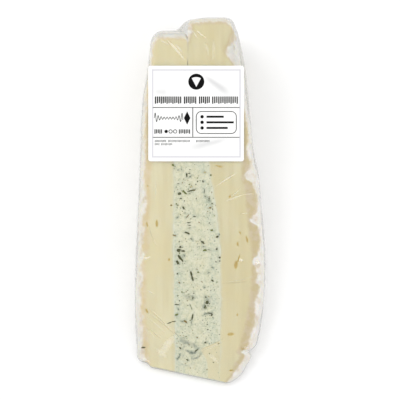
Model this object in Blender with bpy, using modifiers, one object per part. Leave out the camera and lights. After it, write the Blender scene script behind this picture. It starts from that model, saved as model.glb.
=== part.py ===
"""Wedge of filled brie in stretch film, lying on its back cut face.

The piece is a sector of a large wheel. The wheel's axis runs along X, so the layers
lie side by side: brie, herb cream, brie. The tip points to -Y, the rim to +Y, and the
second cut face is turned up, tilted by the wedge angle. Lengths are in millimetres
and become metres as each point is placed.
"""
import math
import random

import bmesh
import bpy
from mathutils import Matrix, Vector, noise

MM = 0.001

# The cut: how the sector is taken out of the wheel
WEDGE_ANGLE = math.radians(13.0)
TIP_RADIUS = 12.0            # wheel's axis to the furthest point of the blunt tip
TIP_SLANT = 0.212            # the tip edge retreats this much for each mm to the left
TIP_RIGHT_X = 12.5           # where the tip edge starts to retreat
TIP_HEIGHT = 2.0             # height left at the pressed tip edge
TIP_DROOP = 17.0             # length over which the tip is pressed down

# Side lines of the wrapped piece, as (distance from the tip, x)
LEFT_SIDE = ((0, -29.5), (13, -31.5), (28, -32.6), (52, -32.8), (76, -32.0), (104, -30.8),
             (140, -29.4), (160, -26.5), (184, -24.6))
RIGHT_SIDE = ((0, 15.5), (4, 20.8), (11, 24.9), (14, 25.6), (20, 29.0), (41, 32.4), (66, 33.0),
              (92, 31.0), (104, 29.9), (116, 27.5), (128, 26.3), (160, 22.9), (184, 17.6))
SIDE_BULGE = 0.9             # the sides stand out this much half way through the wedge
RIND_WAVE = 0.9              # depth and length of the rind's unevenness
WAVE_LENGTH = 11.0

# Faces of the two brie halves towards the filling, as (distance from the tip, x)
LEFT_SEAM = ((0, -12.6), (22, -12.6), (66, -13.4), (109, -13.0), (128, -11.2), (140, -9.6),
             (152, -7.5), (160, -6.6), (170, -6.5), (184, -6.5))
RIGHT_SEAM = ((0, 9.6), (22, 10.3), (66, 10.3), (85, 8.4), (109, 4.6), (128, 0.9), (140, -1.6),
              (152, -4.5), (160, -5.7), (170, -5.9), (184, -5.9))

# Rim ends: the right half stands further out than the left
LEFT_RIM = 175.3
RIGHT_RIM = 182.3
FILLING_END = 151.0
FILM_RIM = ((-34, 176.3), (-14, 176.6), (-11, 177.3), (-7, 181.2), (-2, 182.5), (4, 183.1), (34, 183.1))
RIM_CORNER = 6.2             # radius of the outer corners of the rim
INNER_CORNER = 2.6           # radius of the rim corners beside the seam
RIM_SLANT = 0.1              # the right rim retreats this much for each mm left of its crest
RIM_CREST_X = 4.0
FILM_CORNERS = (7.0, 5.6)    # radii of the film's left and right corner at the rim

# Dent in the right half's rind near the rim, which the film bridges: (distance from the tip, depth)
DENT = ((130, 0), (145, 1.4), (157, 2.4), (165.5, 5.4), (172, 2.2), (179, 0.2), (184, 0))

# Film, label and the gaps between touching pieces
FILM_WALL = 0.3
GAP = 0.3
HERB_HEIGHT = 0.3            # how far a herb piece stands out of the cream
FILM_CLEAR = FILM_WALL + GAP + HERB_HEIGHT + 0.1     # film's outer face off both cut faces
FILM_SIDE = 0.9              # film's outer face beyond the rind
EDGE_RADIUS = 2.2            # rounding of the brie's edges
FILM_EDGE_RADIUS = 2.0
CREAM_EDGE_RADIUS = 1.2
SLIT_X = -4.0
SLIT_WIDTH = 1.0
SLIT_START = 28.0
SLIT_END = 150.0
LABEL_SIZE = 47.8
LABEL_THICKNESS = 0.3
LABEL_CORNER = 1.2
LABEL_CENTRE = (-1.95, 134.7)

# Small hollows in the paste, as (x, distance from the tip, length, width, lean in degrees)
EYES = ((-21.5, 80, 3.6, 1.6, 90), (-26.3, 79, 2.4, 1.0, 95), (23.4, 72.4, 3.4, 1.2, 110),
        (19.0, 69.5, 2.0, 1.0, 80), (18.2, 59.5, 6.0, 2.2, 80), (18.7, 34, 1.8, 1.2, 90),
        (15.2, 24.4, 2.8, 1.6, 10), (-26.5, 36, 2.2, 1.2, 70), (15.0, 93.4, 1.8, 1.2, 40),
        (15.5, 6.2, 1.8, 1.2, 30))
EYE_DEPTH = 0.9

# Large herb pieces on the shown face, as (x, distance from the tip, length, width, lean)
HERBS = ((-5.6, 104, 2.2, 1.4, 70), (-4.5, 96, 4.4, 1.0, 15), (-10.4, 95, 2.0, 1.4, 20),
         (-7.4, 95, 2.8, 1.3, 125), (-8.2, 87.5, 2.0, 1.0, 125), (-6.2, 75, 2.8, 1.0, 155),
         (2.4, 66.5, 2.8, 1.2, 5), (-9.8, 66.6, 2.2, 1.6, 60), (-8.2, 61, 3.0, 1.2, 125),
         (-10.2, 59.5, 2.4, 1.4, 110), (-4.4, 53, 5.4, 1.2, 105), (3.6, 40.4, 3.0, 1.6, 60),
         (-11.4, 39, 2.4, 0.9, 0), (5.4, 35, 3.4, 1.0, 160), (-10.6, 34, 1.8, 1.3, 30),
         (-3.8, 32.4, 3.6, 1.0, 80), (-7.4, 30.6, 2.4, 1.4, 145), (-3.0, 19.2, 4.4, 1.0, 40),
         (-1.2, 15.2, 4.6, 1.0, 30), (-10.4, 18.6, 1.8, 1.2, 110))
HERB_HALF_DEPTH = 0.5
SCATTERED_HERBS = 12         # on the shown face, besides the large ones
BACK_HERBS = 26
HERB_SPACING = 4.2
HERB_SEED = 21

# Grid of the solids: mean size through the wedge, and how far lines crowd to the ends
MEAN_DEPTH = 22.0
GRID_BUNCHING = (1.0, 0.5, 0.0)
HALF_STEPS = (4, 32, 4)
CREAM_STEPS = (3, 24, 3)
FILM_STEPS = (12, 28, 4)
HALF_WIDTH = 21.0
CREAM_WIDTH = 20.0
FILM_WIDTH = 60.0

# Colours, linear
PASTE = (0.74, 0.67, 0.42, 1.0)
CREAM = (0.72, 0.73, 0.56, 1.0)
PAPER = (0.93, 0.93, 0.93, 1.0)
FILM = (0.86, 0.87, 0.86, 1.0)


def clamp(value, low, high):
    return min(max(value, low), high)


def mix(low, high, share):
    return low + (high - low) * share


def ease(share):
    """Smooth step from 0 to 1."""
    share = clamp(share, 0.0, 1.0)
    return share * share * (3.0 - 2.0 * share)


def curve(stations, at):
    """Value at a place on the smooth curve through the stations."""
    last = len(stations) - 1
    at = clamp(at, stations[0][0], stations[last][0])
    i = next(k for k in range(last) if at <= stations[k + 1][0])

    def slope(k):
        low, high = stations[max(k - 1, 0)], stations[min(k + 1, last)]
        return (high[1] - low[1]) / (high[0] - low[0])

    span = stations[i + 1][0] - stations[i][0]
    t = (at - stations[i][0]) / span
    start, end = stations[i][1], stations[i + 1][1]
    rise = end - start
    bend_in = slope(i) * span - rise
    bend_out = rise - slope(i + 1) * span
    return start + rise * t + t * (1.0 - t) * ((1.0 - t) * bend_in + t * bend_out)


def corner(distance, radius):
    """How far a round corner falls back at a distance from the side."""
    if distance >= radius:
        return 0.0
    return radius - math.sqrt(radius * radius - (radius - max(distance, 0.0)) ** 2)


def waves(a, b, c, size):
    """Gentle unevenness between 0 and 1, with humps of about the given size."""
    return 0.5 + 0.5 * clamp(noise.noise(Vector((a, b, c)) / size) * 1.6, -1.0, 1.0)


def tip_line(x):
    """Distance of the cheese's tip edge from the film's furthest point."""
    return FILM_SIDE + TIP_SLANT * max(TIP_RIGHT_X - x, 0.0)


def wedge_angle(x, from_tip):
    """Angle of the shown face above the back face, less where the tip is pressed down."""
    edge = TIP_RADIUS + tip_line(x)
    pressed = math.asin(TIP_HEIGHT / edge)
    return mix(min(pressed, WEDGE_ANGLE), WEDGE_ANGLE, ease((from_tip - tip_line(x)) / TIP_DROOP))


def wedge_point(x, from_tip, through, lift=0.0):
    """Point in metres; through runs from 0 on the back face to 1 on the shown face."""
    radius = TIP_RADIUS + from_tip
    angle = through * wedge_angle(x, from_tip)
    y = radius * math.cos(angle) - lift * math.sin(angle)
    z = FILM_CLEAR + radius * math.sin(angle) + lift * math.cos(angle)
    return Vector((x, y, z)) * MM


def grid_lines(count, reach, bunching):
    """Grid lines over -1..1: count steps between the rounded edges, closer towards them."""
    even = [2.0 * k / count - 1.0 for k in range(count + 1)]
    bunched = [mix(s, math.sin(s * math.pi / 2.0), bunching) for s in even]
    return [-1.0] + [s * (1.0 - reach) for s in bunched] + [1.0]


def rounded(point, reach):
    """Point of a block's surface moved on to its rounded edge; reach is the radius as a share."""
    core = [clamp(p, r - 1.0, 1.0 - r) for p, r in zip(point, reach)]
    out = Vector([(p - c) / r for p, c, r in zip(point, core, reach)]).normalized()
    return [c + o * r for c, o, r in zip(core, out, reach)]


def new_material(name, colour, roughness):
    material = bpy.data.materials.new(name)
    material.use_nodes = True
    shader = material.node_tree.nodes["Principled BSDF"]
    shader.inputs["Base Color"].default_value = colour
    shader.inputs["Roughness"].default_value = roughness
    shader.inputs["Metallic"].default_value = 0.0
    material.diffuse_color = colour
    return material


def new_object(name, bm, collection, material=None, parent=None):
    mesh = bpy.data.meshes.new(name)
    bm.to_mesh(mesh)
    bm.free()
    piece = bpy.data.objects.new(name, mesh)
    collection.objects.link(piece)
    if material:
        mesh.materials.append(material)
        mesh.shade_smooth()
        mesh.set_sharp_from_angle(angle=math.radians(40.0))
    piece.parent = parent
    return piece


def block(spans, place):
    """Closed block with grid lines at the spans, each vertex put where place says."""
    bm = bmesh.new()
    bmesh.ops.create_cube(bm, size=2.0)
    for axis, span in enumerate(spans):
        edges = [e for e in bm.edges if abs(e.verts[0].co[axis] - e.verts[1].co[axis]) > 1.9]
        bmesh.ops.subdivide_edges(bm, edges=edges, cuts=len(span) - 2, use_grid_fill=True)
    for vertex in bm.verts:
        lines = [round((c + 1.0) / 2.0 * (len(span) - 1)) for c, span in zip(vertex.co, spans)]
        vertex.co = place([span[k] for k, span in zip(lines, spans)])
    bmesh.ops.recalc_face_normals(bm, faces=bm.faces)
    return bm


def sector(left, right, low, high, width, steps, radius, under=0.0, over=0.0):
    """Block of the wedge between four lines: left and right give x, low and high from_tip."""
    reaches = [2.0 * radius / size for size in (width, RIGHT_RIM, MEAN_DEPTH)]
    spans = [grid_lines(*line) for line in zip(steps, reaches, GRID_BUNCHING)]

    def place(point):
        across, along, through = [(share + 1.0) / 2.0 for share in rounded(point, reaches)]
        from_tip = mix(0.0, RIGHT_RIM, along)
        for _ in range(4):
            x = mix(left(from_tip, through), right(from_tip, through), across)
            from_tip = mix(low(x), high(x), along)
        return wedge_point(x, from_tip, through, mix(-under, over, through))

    return block(spans, place)


def bulge(through):
    """Inward fall of the sides towards the two cut faces."""
    return SIDE_BULGE * (2.0 * through - 1.0) ** 2


def film_left(from_tip, through):
    return curve(LEFT_SIDE, from_tip) + bulge(through)


def film_right(from_tip, through):
    return curve(RIGHT_SIDE, from_tip) - bulge(through)


def rind_left(from_tip, through):
    height = TIP_RADIUS * through
    return film_left(from_tip, through) + FILM_SIDE + RIND_WAVE * waves(from_tip, height, 3.0, WAVE_LENGTH)


def rind_right(from_tip, through):
    height = TIP_RADIUS * through
    dent = curve(DENT, from_tip) * through ** 2
    return film_right(from_tip, through) - FILM_SIDE - dent - RIND_WAVE * waves(from_tip, height, 57.0, WAVE_LENGTH)


def left_seam(from_tip, through=0.5):
    return curve(LEFT_SEAM, from_tip)


def right_seam(from_tip, through=0.5):
    return curve(RIGHT_SEAM, from_tip)


def left_rim(x):
    outer = corner(x - rind_left(LEFT_RIM, 0.5), RIM_CORNER)
    return LEFT_RIM - outer - corner(left_seam(LEFT_RIM) - x, INNER_CORNER)


def right_rim(x):
    outer = corner(rind_right(RIGHT_RIM, 0.5) - x, RIM_CORNER)
    slant = RIM_SLANT * max(RIM_CREST_X - x, 0.0)
    return RIGHT_RIM - outer - slant - corner(x - right_seam(RIGHT_RIM), INNER_CORNER)


def film_rim(x):
    left, right = FILM_CORNERS
    outer = corner(x - film_left(LEFT_RIM, 0.5), left)
    return curve(FILM_RIM, x) - outer - corner(film_right(RIGHT_RIM, 0.5) - x, right)


def cut_eyes(half, side, cutters):
    """Hollow the eyes out of the shown face of one half."""
    for number, (x, from_tip, length, width, lean) in enumerate(EYES):
        if (x > 0) != (side == "right"):
            continue
        bm = bmesh.new()
        size = Matrix.Diagonal((length / 2 * MM, width / 2 * MM, EYE_DEPTH * MM, 1.0))
        bmesh.ops.create_icosphere(bm, subdivisions=2, radius=1.0, matrix=size)
        eye = new_object(f"eye_{side}_{number}", bm, cutters)
        eye.matrix_world = on_face(x, from_tip, lean, 1.0, 0.0)
        eye.hide_render = True
        eye.display_type = "WIRE"
        eye.parent = half.parent
        hole = half.modifiers.new(f"eye_{number}", "BOOLEAN")
        hole.operation = "DIFFERENCE"
        hole.solver = "MANIFOLD"
        hole.object = eye


def on_face(x, from_tip, lean, through, lift):
    """Frame on a cut face: its X axis lies in the face, turned by lean, its Z axis points out."""
    angle = through * wedge_angle(x, from_tip)
    out = Vector((0.0, -math.sin(angle), math.cos(angle))) * (1.0 if through > 0.5 else -1.0)
    radial = Vector((0.0, math.cos(angle), math.sin(angle)))
    turn = math.radians(lean)
    first = Vector((1.0, 0.0, 0.0)) * math.cos(turn) + radial * math.sin(turn)
    second = out.cross(first)
    frame = Matrix((first, second, out)).transposed().to_4x4()
    frame.translation = wedge_point(x, from_tip, through) + out * lift * MM
    return frame


def herb_places():
    """Herb pieces of both cut faces as (through, x, from_tip, length, width, lean)."""
    draw = random.Random(HERB_SEED)
    places = [(1.0,) + herb for herb in HERBS]
    for through in (1.0, 0.0):
        wanted = SCATTERED_HERBS if through else BACK_HERBS
        tries = 0
        while wanted and tries < 4000:
            tries += 1
            from_tip = draw.uniform(14.0, 138.0)
            low, high = left_seam(from_tip) + 2.6, right_seam(from_tip) - 2.6
            x = draw.uniform(low, high)
            near = [p for p in places if p[0] == through]
            if any(math.hypot(p[1] - x, p[2] - from_tip) < HERB_SPACING for p in near):
                continue
            length = draw.uniform(1.2, 3.4)
            places.append((through, x, from_tip, length, draw.uniform(0.9, 1.3), draw.uniform(0, 180)))
            wanted -= 1
    return places


def fuse_herbs(filling):
    """Join the herb pieces to the cream as one closed body."""
    herbs = bpy.data.collections.new("herb pieces")
    bpy.context.scene.collection.children.link(herbs)
    for number, (through, x, from_tip, length, width, lean) in enumerate(herb_places()):
        bm = bmesh.new()
        size = Matrix.Diagonal((length / 2 * MM, width / 2 * MM, HERB_HALF_DEPTH * MM, 1.0))
        bmesh.ops.create_icosphere(bm, subdivisions=1, radius=1.0, matrix=size)
        herb = new_object(f"herb_{number}", bm, herbs)
        herb.matrix_world = on_face(x, from_tip, lean, through, HERB_HEIGHT - HERB_HALF_DEPTH)
        herb.parent = filling.parent
    union = filling.modifiers.new("herbs", "BOOLEAN")
    union.operation = "UNION"
    union.operand_type = "COLLECTION"
    union.collection = herbs
    graph = bpy.context.evaluated_depsgraph_get()
    fused = bpy.data.meshes.new_from_object(filling.evaluated_get(graph))
    filling.modifiers.remove(union)
    filling.data = fused
    for herb in list(herbs.objects):
        bpy.data.objects.remove(herb)
    bpy.data.collections.remove(herbs)


def make_brie(parts, cutters, axle):
    paste = new_material("brie paste", PASTE, 0.5)
    left = sector(rind_left, left_seam, tip_line, left_rim, HALF_WIDTH, HALF_STEPS, EDGE_RADIUS)
    left = new_object("brie_half_left", left, parts, paste, axle)
    right = sector(right_seam, rind_right, tip_line, right_rim, HALF_WIDTH, HALF_STEPS, EDGE_RADIUS)
    right = new_object("brie_half_right", right, parts, paste.copy(), axle)
    cut_eyes(left, "left", cutters)
    cut_eyes(right, "right", cutters)


def make_filling(parts, axle):
    def left(from_tip, through):
        return left_seam(from_tip) + GAP

    def right(from_tip, through):
        return right_seam(from_tip) - GAP

    def end(x):
        return FILLING_END

    cream = new_material("herb cream cheese", CREAM, 0.55)
    body = sector(left, right, tip_line, end, CREAM_WIDTH, CREAM_STEPS, CREAM_EDGE_RADIUS)
    filling = new_object("herb_filling", body, parts, cream, axle)
    fuse_herbs(filling)


def make_film(parts, cutters, axle):
    def film_tip(x):
        return tip_line(x) - FILM_SIDE

    film = new_material("stretch film", FILM, 0.15)
    skin = sector(film_left, film_right, film_tip, film_rim, FILM_WIDTH, FILM_STEPS,
                  FILM_EDGE_RADIUS, FILM_CLEAR, FILM_CLEAR)
    wrap = new_object("film_wrap", skin, parts, film, axle)
    wall = wrap.modifiers.new("wall", "SOLIDIFY")
    wall.thickness = FILM_WALL * MM
    wall.offset = -1.0
    bm = bmesh.new()
    bmesh.ops.create_cube(bm, size=1.0)
    bmesh.ops.scale(bm, verts=bm.verts, vec=Vector((SLIT_WIDTH, SLIT_END - SLIT_START, 4 * FILM_WALL)) * MM)
    slit = new_object("back_seam", bm, cutters, parent=axle)
    slit.location = Vector((SLIT_X, TIP_RADIUS + (SLIT_START + SLIT_END) / 2, FILM_WALL / 2)) * MM
    slit.hide_render = True
    slit.display_type = "WIRE"
    seam = wrap.modifiers.new("back seam", "BOOLEAN")
    seam.operation = "DIFFERENCE"
    seam.solver = "MANIFOLD"
    seam.object = slit
    return wrap


def make_label(parts, axle):
    paper = new_material("label paper", PAPER, 0.45)
    bm = bmesh.new()
    bmesh.ops.create_cube(bm, size=1.0)
    bmesh.ops.scale(bm, verts=bm.verts, vec=Vector((LABEL_SIZE, LABEL_SIZE, LABEL_THICKNESS)) * MM)
    upright = [e for e in bm.edges if abs(e.verts[0].co.z - e.verts[1].co.z) > LABEL_THICKNESS * MM / 2]
    bmesh.ops.bevel(bm, geom=upright, offset=LABEL_CORNER * MM, segments=4, profile=0.5,
                    affect="EDGES")
    label = new_object("label", bm, parts, paper, axle)
    lift = FILM_CLEAR + GAP + LABEL_THICKNESS / 2
    label.matrix_local = on_face(LABEL_CENTRE[0], LABEL_CENTRE[1], 0.0, 1.0, lift)


def centre(axle, wrap):
    """Move the wheel's axis so that the wrapped piece is centred over the origin."""
    graph = bpy.context.evaluated_depsgraph_get()
    corners = [Vector(c) for c in wrap.evaluated_get(graph).bound_box]
    middle = (Vector(map(min, zip(*corners))) + Vector(map(max, zip(*corners)))) / 2
    axle.location = (-middle.x, -middle.y, 0.0)


def main():
    for thing in list(bpy.data.objects):
        bpy.data.objects.remove(thing)
    parts = bpy.data.collections.new("filled brie wedge")
    cutters = bpy.data.collections.new("cutters")
    bpy.context.scene.collection.children.link(parts)
    bpy.context.scene.collection.children.link(cutters)
    axle = bpy.data.objects.new("wheel_axis", None)
    parts.objects.link(axle)
    make_brie(parts, cutters, axle)
    make_filling(parts, axle)
    make_label(parts, axle)
    wrap = make_film(parts, cutters, axle)
    bpy.context.view_layer.update()
    centre(axle, wrap)


main()
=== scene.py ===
import math
import random

import bmesh
import bpy
import numpy as np
from mathutils import Matrix, Vector, noise
from mathutils.bvhtree import BVHTree


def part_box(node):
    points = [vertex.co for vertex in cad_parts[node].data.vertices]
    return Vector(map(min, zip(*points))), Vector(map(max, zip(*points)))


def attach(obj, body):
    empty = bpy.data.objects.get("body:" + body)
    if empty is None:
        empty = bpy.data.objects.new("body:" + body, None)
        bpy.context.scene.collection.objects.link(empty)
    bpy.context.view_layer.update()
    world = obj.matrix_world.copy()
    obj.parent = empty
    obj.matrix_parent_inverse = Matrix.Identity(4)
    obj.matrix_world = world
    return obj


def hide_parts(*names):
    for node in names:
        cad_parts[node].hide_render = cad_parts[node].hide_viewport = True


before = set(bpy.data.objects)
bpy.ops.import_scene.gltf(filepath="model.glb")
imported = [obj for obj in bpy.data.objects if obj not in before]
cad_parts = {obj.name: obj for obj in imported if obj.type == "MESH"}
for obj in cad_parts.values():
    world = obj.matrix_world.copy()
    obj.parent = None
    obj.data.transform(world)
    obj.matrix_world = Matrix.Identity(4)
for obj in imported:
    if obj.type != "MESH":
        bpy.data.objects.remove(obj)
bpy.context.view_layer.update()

# Brie halves. A large soft brie is split flat through its height, filled and closed again, and
# this sector is cut from it with two knife cuts to the wheel's axis, which lies along X here.
# The paste is smooth and moist with a few small hollows, under a white bloomy rind.

# Sizes are in millimetres, x across the layers and distances from the thin tip of the wedge
MM = 0.001
WEDGE_ANGLE = math.radians(13.0)
LABEL_CENTRE = (-1.95, 134.7)
LABEL_STAND = 1.45                 # middle of the label's solid above the shown face
TIP_RADIUS = 12.0                  # distance of the tip from the wheel's axis
TIP_SLANT = 0.212
TIP_RIGHT_X = 12.5
TIP_HEIGHT = 2.0
TIP_STEP, TIP_STEP_FROM, TIP_STEP_TO = 1.9, -24.3, -26.9    # the tip turns up at its left end
TIP_DROOP = 17.0
# Side lines of the wrapped piece, seams and dent, as (distance from the tip, x or depth)
LEFT_SIDE = ((0, -29.5), (13, -31.5), (28, -32.6), (52, -32.8), (76, -32.0), (104, -30.8),
             (140, -29.4), (160, -26.5), (184, -24.6))
RIGHT_SIDE = ((0, 15.5), (4, 20.8), (9.3, 23.7), (11.7, 25.4), (14, 25.9), (15.4, 24.7), (17, 26.7),
              (20, 29.0), (41, 32.4), (66, 33.0), (92, 31.0), (104, 29.9), (116, 27.5), (128, 26.3),
              (160, 22.9), (184, 17.6))
SIDE_BULGE = 0.9
LEFT_SEAM = ((0, -12.6), (22, -12.6), (66, -13.4), (109, -13.0), (128, -11.2), (140, -9.6),
             (152, -7.5), (160, -6.6), (170, -6.5), (184, -6.5))
RIGHT_SEAM = ((0, 9.6), (22, 10.3), (66, 10.3), (85, 8.4), (109, 4.6), (128, 0.9), (140, -1.6),
              (152, -4.5), (160, -5.7), (170, -5.9), (184, -5.9))
SEAM_CLOSING = 0.28                # each half comes this much nearer to the filling than its solid
SEAM_WANDER = 0.3
SEAM_WANDER_SIZE = 4.0
SEAM_SEEDS = (21.0, 67.0)
SEAM_STEADY_FROM = 150.0           # beyond this the halves touch in a straight line
SEAM_STEADY_OVER = 20.0
SEAM_TOUCH = 0.06
SEAM_TOUCH_OVER = 3.0
DENT = ((130, 0), (145, 1.4), (157, 2.4), (165.5, 5.4), (172, 2.2), (179, 0.2), (184, 0))
LEFT_RIM = 175.3
RIGHT_RIM = 182.3
RIM_CORNER = 6.2
INNER_CORNER = 2.6
RIM_SLANT = 0.1
RIM_CREST_X = 4.0
FILM_SIDE = 0.9                    # film's outer face beyond the rind's solid
CLING = 0.4                        # the cheese's skin lies this much nearer to the film
RIND_WAVE = 0.8
RIND_WAVE_SIZE = 11.0
RIND_GRAIN = 0.3
RIND_GRAIN_SIZE = 3.2
EDGE_RADIUS = 2.2
MEAN_DEPTH = 22.0
HALF_WIDTH = 21.0
HALF_CUTS = (44, 350, 24)          # faces of the grid across, along and through
SETTLE_ROUNDS = 5
SHARP_ANGLE = math.radians(50.0)
# Width of the mould's felt on the cut faces, and of the tan paste under it, from the side line
LEFT_FELT = ((0, 3.0), (14, 3.1), (19, 2.3), (28.5, 3.0), (33, 3.4), (38, 2.3), (45, 2.4), (50, 3.2),
             (54, 3.2), (59, 2.1), (61.5, 3.0), (64, 3.8), (66.5, 2.3), (71, 2.6), (76, 3.3), (80.5, 2.4),
             (85.5, 3.2), (92, 3.6), (95, 3.3), (99, 1.9), (104.5, 2.0), (109, 2.6), (115, 1.9),
             (134, 1.7), (150, 1.1), (167, 1.3), (178, 1.4))
RIGHT_FELT = ((0, 2.2), (5, 3.4), (9, 3.2), (14, 2.4), (19, 3.4), (24, 3.6), (28.5, 2.7), (38, 3.5),
              (41, 4.0), (47, 2.1), (51, 4.2), (54, 3.1), (58, 4.6), (61.5, 5.7), (64, 3.1), (69, 2.0),
              (78, 2.2), (81, 6.2), (83, 4.8), (85.5, 2.0), (92.5, 1.3), (97.5, 2.5), (100, 3.3),
              (102.2, 6.4), (104.5, 6.3), (107, 3.3), (115, 2.9), (124, 1.7), (148, 1.8), (158, 1.0),
              (165.5, 3.0), (170, 1.0), (174, 0.2), (180, 0.3))
LEFT_TAN = ((0, 5.0), (24, 6.0), (33, 5.1), (54, 5.3), (61.5, 4.7), (68, 6.3), (78, 5.9), (92, 6.2),
            (102, 5.5), (109, 6.5), (124, 5.0), (143, 3.5), (160, 2.7), (178, 2.6))
RIGHT_TAN = ((0, 4.0), (9, 6.3), (14, 5.7), (19, 8.0), (28, 8.0), (41, 7.4), (64, 6.6), (73, 7.4),
             (83, 7.9), (97, 7.8), (104, 8.6), (115, 5.6), (140, 3.2), (158, 2.4), (166, 4.2), (180, 2.2))
RIM_FELTS = (3.5, 2.1)             # the same from the rim, on the left half and on the right one
RIM_TANS = (4.6, 3.5)
NOTCH_SPREAD = 0.35                # the felt of the notch thins out below the left rim at this rate
BACK_SHIFT = 8.0                   # the same lobes lie this much further from the tip on the back face
# Small hollows in the paste, as (x, distance from the tip, length, width, lean in degrees)
EYES = (
    (-21.6, 79.7, 3.4, 1.2, 92), (-26.5, 79.2, 2.6, 0.8, 100), (23.5, 71.8, 3.5, 1.0, 106),
    (18.9, 69.4, 2.2, 0.9, 100), (20.1, 75.1, 1.7, 0.7, 120), (19.3, 62.0, 4.2, 0.7, 76),
    (18.0, 59.0, 3.9, 1.7, 84), (14.9, 93.2, 1.5, 1.0, 45), (-15.5, 61.6, 1.4, 1.0, 85),
    (9.5, 108.4, 4.0, 0.8, 168), (-26.6, 36.0, 2.3, 0.9, 110), (18.7, 34.1, 1.4, 0.8, 90),
    (15.4, 24.4, 3.0, 1.5, 5), (15.6, 6.2, 1.9, 0.9, 12), (21.0, 17.1, 1.9, 0.5, 130),
    (-26.2, 98.4, 1.0, 0.5, 90))
SPOT_EDGE = 1.6                    # a spot is whole at 0.6 of its half length, and gone at this
EYE_DEPTH = 0.45
# Hollows of the back face, drawn at random in two rows
BACK_EYES = 14
BACK_EYE_SEED = 5
BACK_EYE_ROWS = (-22.0, 19.0)
BACK_EYE_SPREAD = 4
BACK_EYE_SPAN = (20, 160)
BACK_EYE_LENGTH = (1.5, 4.0)
BACK_EYE_WIDTH = (0.8, 1.5)
BACK_EYE_LEAN = (60, 120)
FACE_SHARE = 0.1                   # share of the way through that a cut face's relief fades over
FACE_GRAIN = 0.12
FACE_GRAIN_SIZE = 5.0
FACE_GRAIN_DRAW = 0.25             # the knife draws the grain out along the cut to 4 times its width
SHOWN_FROM, SHOWN_OVER = 0.88, 0.1    # where the tones of the shown face alone set in
NO_EDGE = 9.0                      # a depth that no edge's tone reaches
SIDE_DEPTH = 0.95                  # off the shown face the side's tone is as at this depth
NOISE_SWELL = 1.6                  # the noise itself reaches about 0.6
LEFT_SEED, RIGHT_SEED = 3.0, 57.0
# Colours: paste and its streaks, tan and pink paste under the rind, thin to thick felt, felt on the
# shown face's rim, greyed there as painted shade, and on its side
LEFT_TONES = {"paste_tones": ("#E2D9B2", "#E9E2BF"), "tan_tone": "#E3D1A6", "pink_tone": "#E8D9BE",
              "felt_tones": ("#E0D5C0", "#EBE4D6", "#F5F2E9"), "rim_shaded_felt_tone": "#D6D8D4",
              "side_tone": "#ECEAE2"}
RIGHT_TONES = {"paste_tones": ("#DBD2AB", "#E4DDBA"), "tan_tone": "#D0BF94", "pink_tone": "#D8C8B0",
               "felt_tones": ("#E2D6C4", "#EEE8DC", "#F7F5F0"), "rim_shaded_felt_tone": "#E6E1D3",
               "side_tone": "#ECEBE7"}


def wheel_axis():
    """Where the wheel's axis lies, from the known place of the label on the shown face."""
    low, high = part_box("label")
    middle = (Vector(low) + Vector(high)) / 2 / MM
    reach = TIP_RADIUS + LABEL_CENTRE[1]
    return (middle.x - LABEL_CENTRE[0],
            middle.y - reach * math.cos(WEDGE_ANGLE) + LABEL_STAND * math.sin(WEDGE_ANGLE),
            middle.z - reach * math.sin(WEDGE_ANGLE) - LABEL_STAND * math.cos(WEDGE_ANGLE))


AXLE = wheel_axis()


def ease(share):
    share = np.clip(share, 0.0, 1.0)
    return share * share * (3.0 - 2.0 * share)


def curve(stations, at):
    """Values on the smooth curve through the stations."""
    places, values = np.array(stations, float).T
    at = np.clip(at, places[0], places[-1])
    low = np.maximum(np.arange(len(places)) - 1, 0)
    high = np.minimum(np.arange(len(places)) + 1, len(places) - 1)
    slopes = (values[high] - values[low]) / (places[high] - places[low])
    i = np.clip(np.searchsorted(places, at, side="right") - 1, 0, len(places) - 2)
    span = places[i + 1] - places[i]
    t = (at - places[i]) / span
    rise = values[i + 1] - values[i]
    bend_in = slopes[i] * span - rise
    bend_out = rise - slopes[i + 1] * span
    return values[i] + rise * t + t * (1.0 - t) * ((1.0 - t) * bend_in + t * bend_out)


def corner(distance, radius):
    """How far a round corner falls back at a distance from the side."""
    short = np.clip(radius - distance, 0.0, radius)
    return radius - np.sqrt(radius * radius - short * short)


def humps(a, b, c, size):
    """Noise between about -1 and 1 with humps of the given size, at arrays of places."""
    places = np.stack(np.broadcast_arrays(a, b, c), 1) / size
    return np.array([noise.noise(Vector(p)) for p in places.tolist()]) * NOISE_SWELL


def tip_slant(x):
    step = TIP_STEP * ease((x - TIP_STEP_FROM) / (TIP_STEP_TO - TIP_STEP_FROM))
    return TIP_SLANT * np.maximum(TIP_RIGHT_X - x, 0.0) + step


def cheese_tip(x):
    return tip_slant(x) + FILM_SIDE - CLING


def wedge_angle(x, from_tip):
    """Angle of the shown face above the back one, less where the tip is pressed down."""
    press_start = FILM_SIDE + tip_slant(x)
    pressed = np.minimum(np.arcsin(TIP_HEIGHT / (TIP_RADIUS + press_start)), WEDGE_ANGLE)
    return pressed + (WEDGE_ANGLE - pressed) * ease((from_tip - press_start) / TIP_DROOP)


def wedge_points(x, from_tip, through, lift):
    """Places in metres: through is 0 on the back face and 1 on the shown one, lift stands off it."""
    radius = TIP_RADIUS + from_tip
    angle = through * wedge_angle(x, from_tip)
    y = radius * np.cos(angle) - lift * np.sin(angle)
    z = radius * np.sin(angle) + lift * np.cos(angle)
    return np.stack([x + AXLE[0], y + AXLE[1], z + AXLE[2]], 1) * MM


def bulge(through):
    return SIDE_BULGE * (2.0 * through - 1.0) ** 2


def film_left(from_tip, through):
    return curve(LEFT_SIDE, from_tip) + bulge(through)


def film_right(from_tip, through):
    return curve(RIGHT_SIDE, from_tip) - bulge(through)


def rind_left(from_tip, through):
    return film_left(from_tip, through) + FILM_SIDE - CLING


def rind_right(from_tip, through):
    return film_right(from_tip, through) - curve(DENT, from_tip) * through ** 2 - FILM_SIDE + CLING


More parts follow.
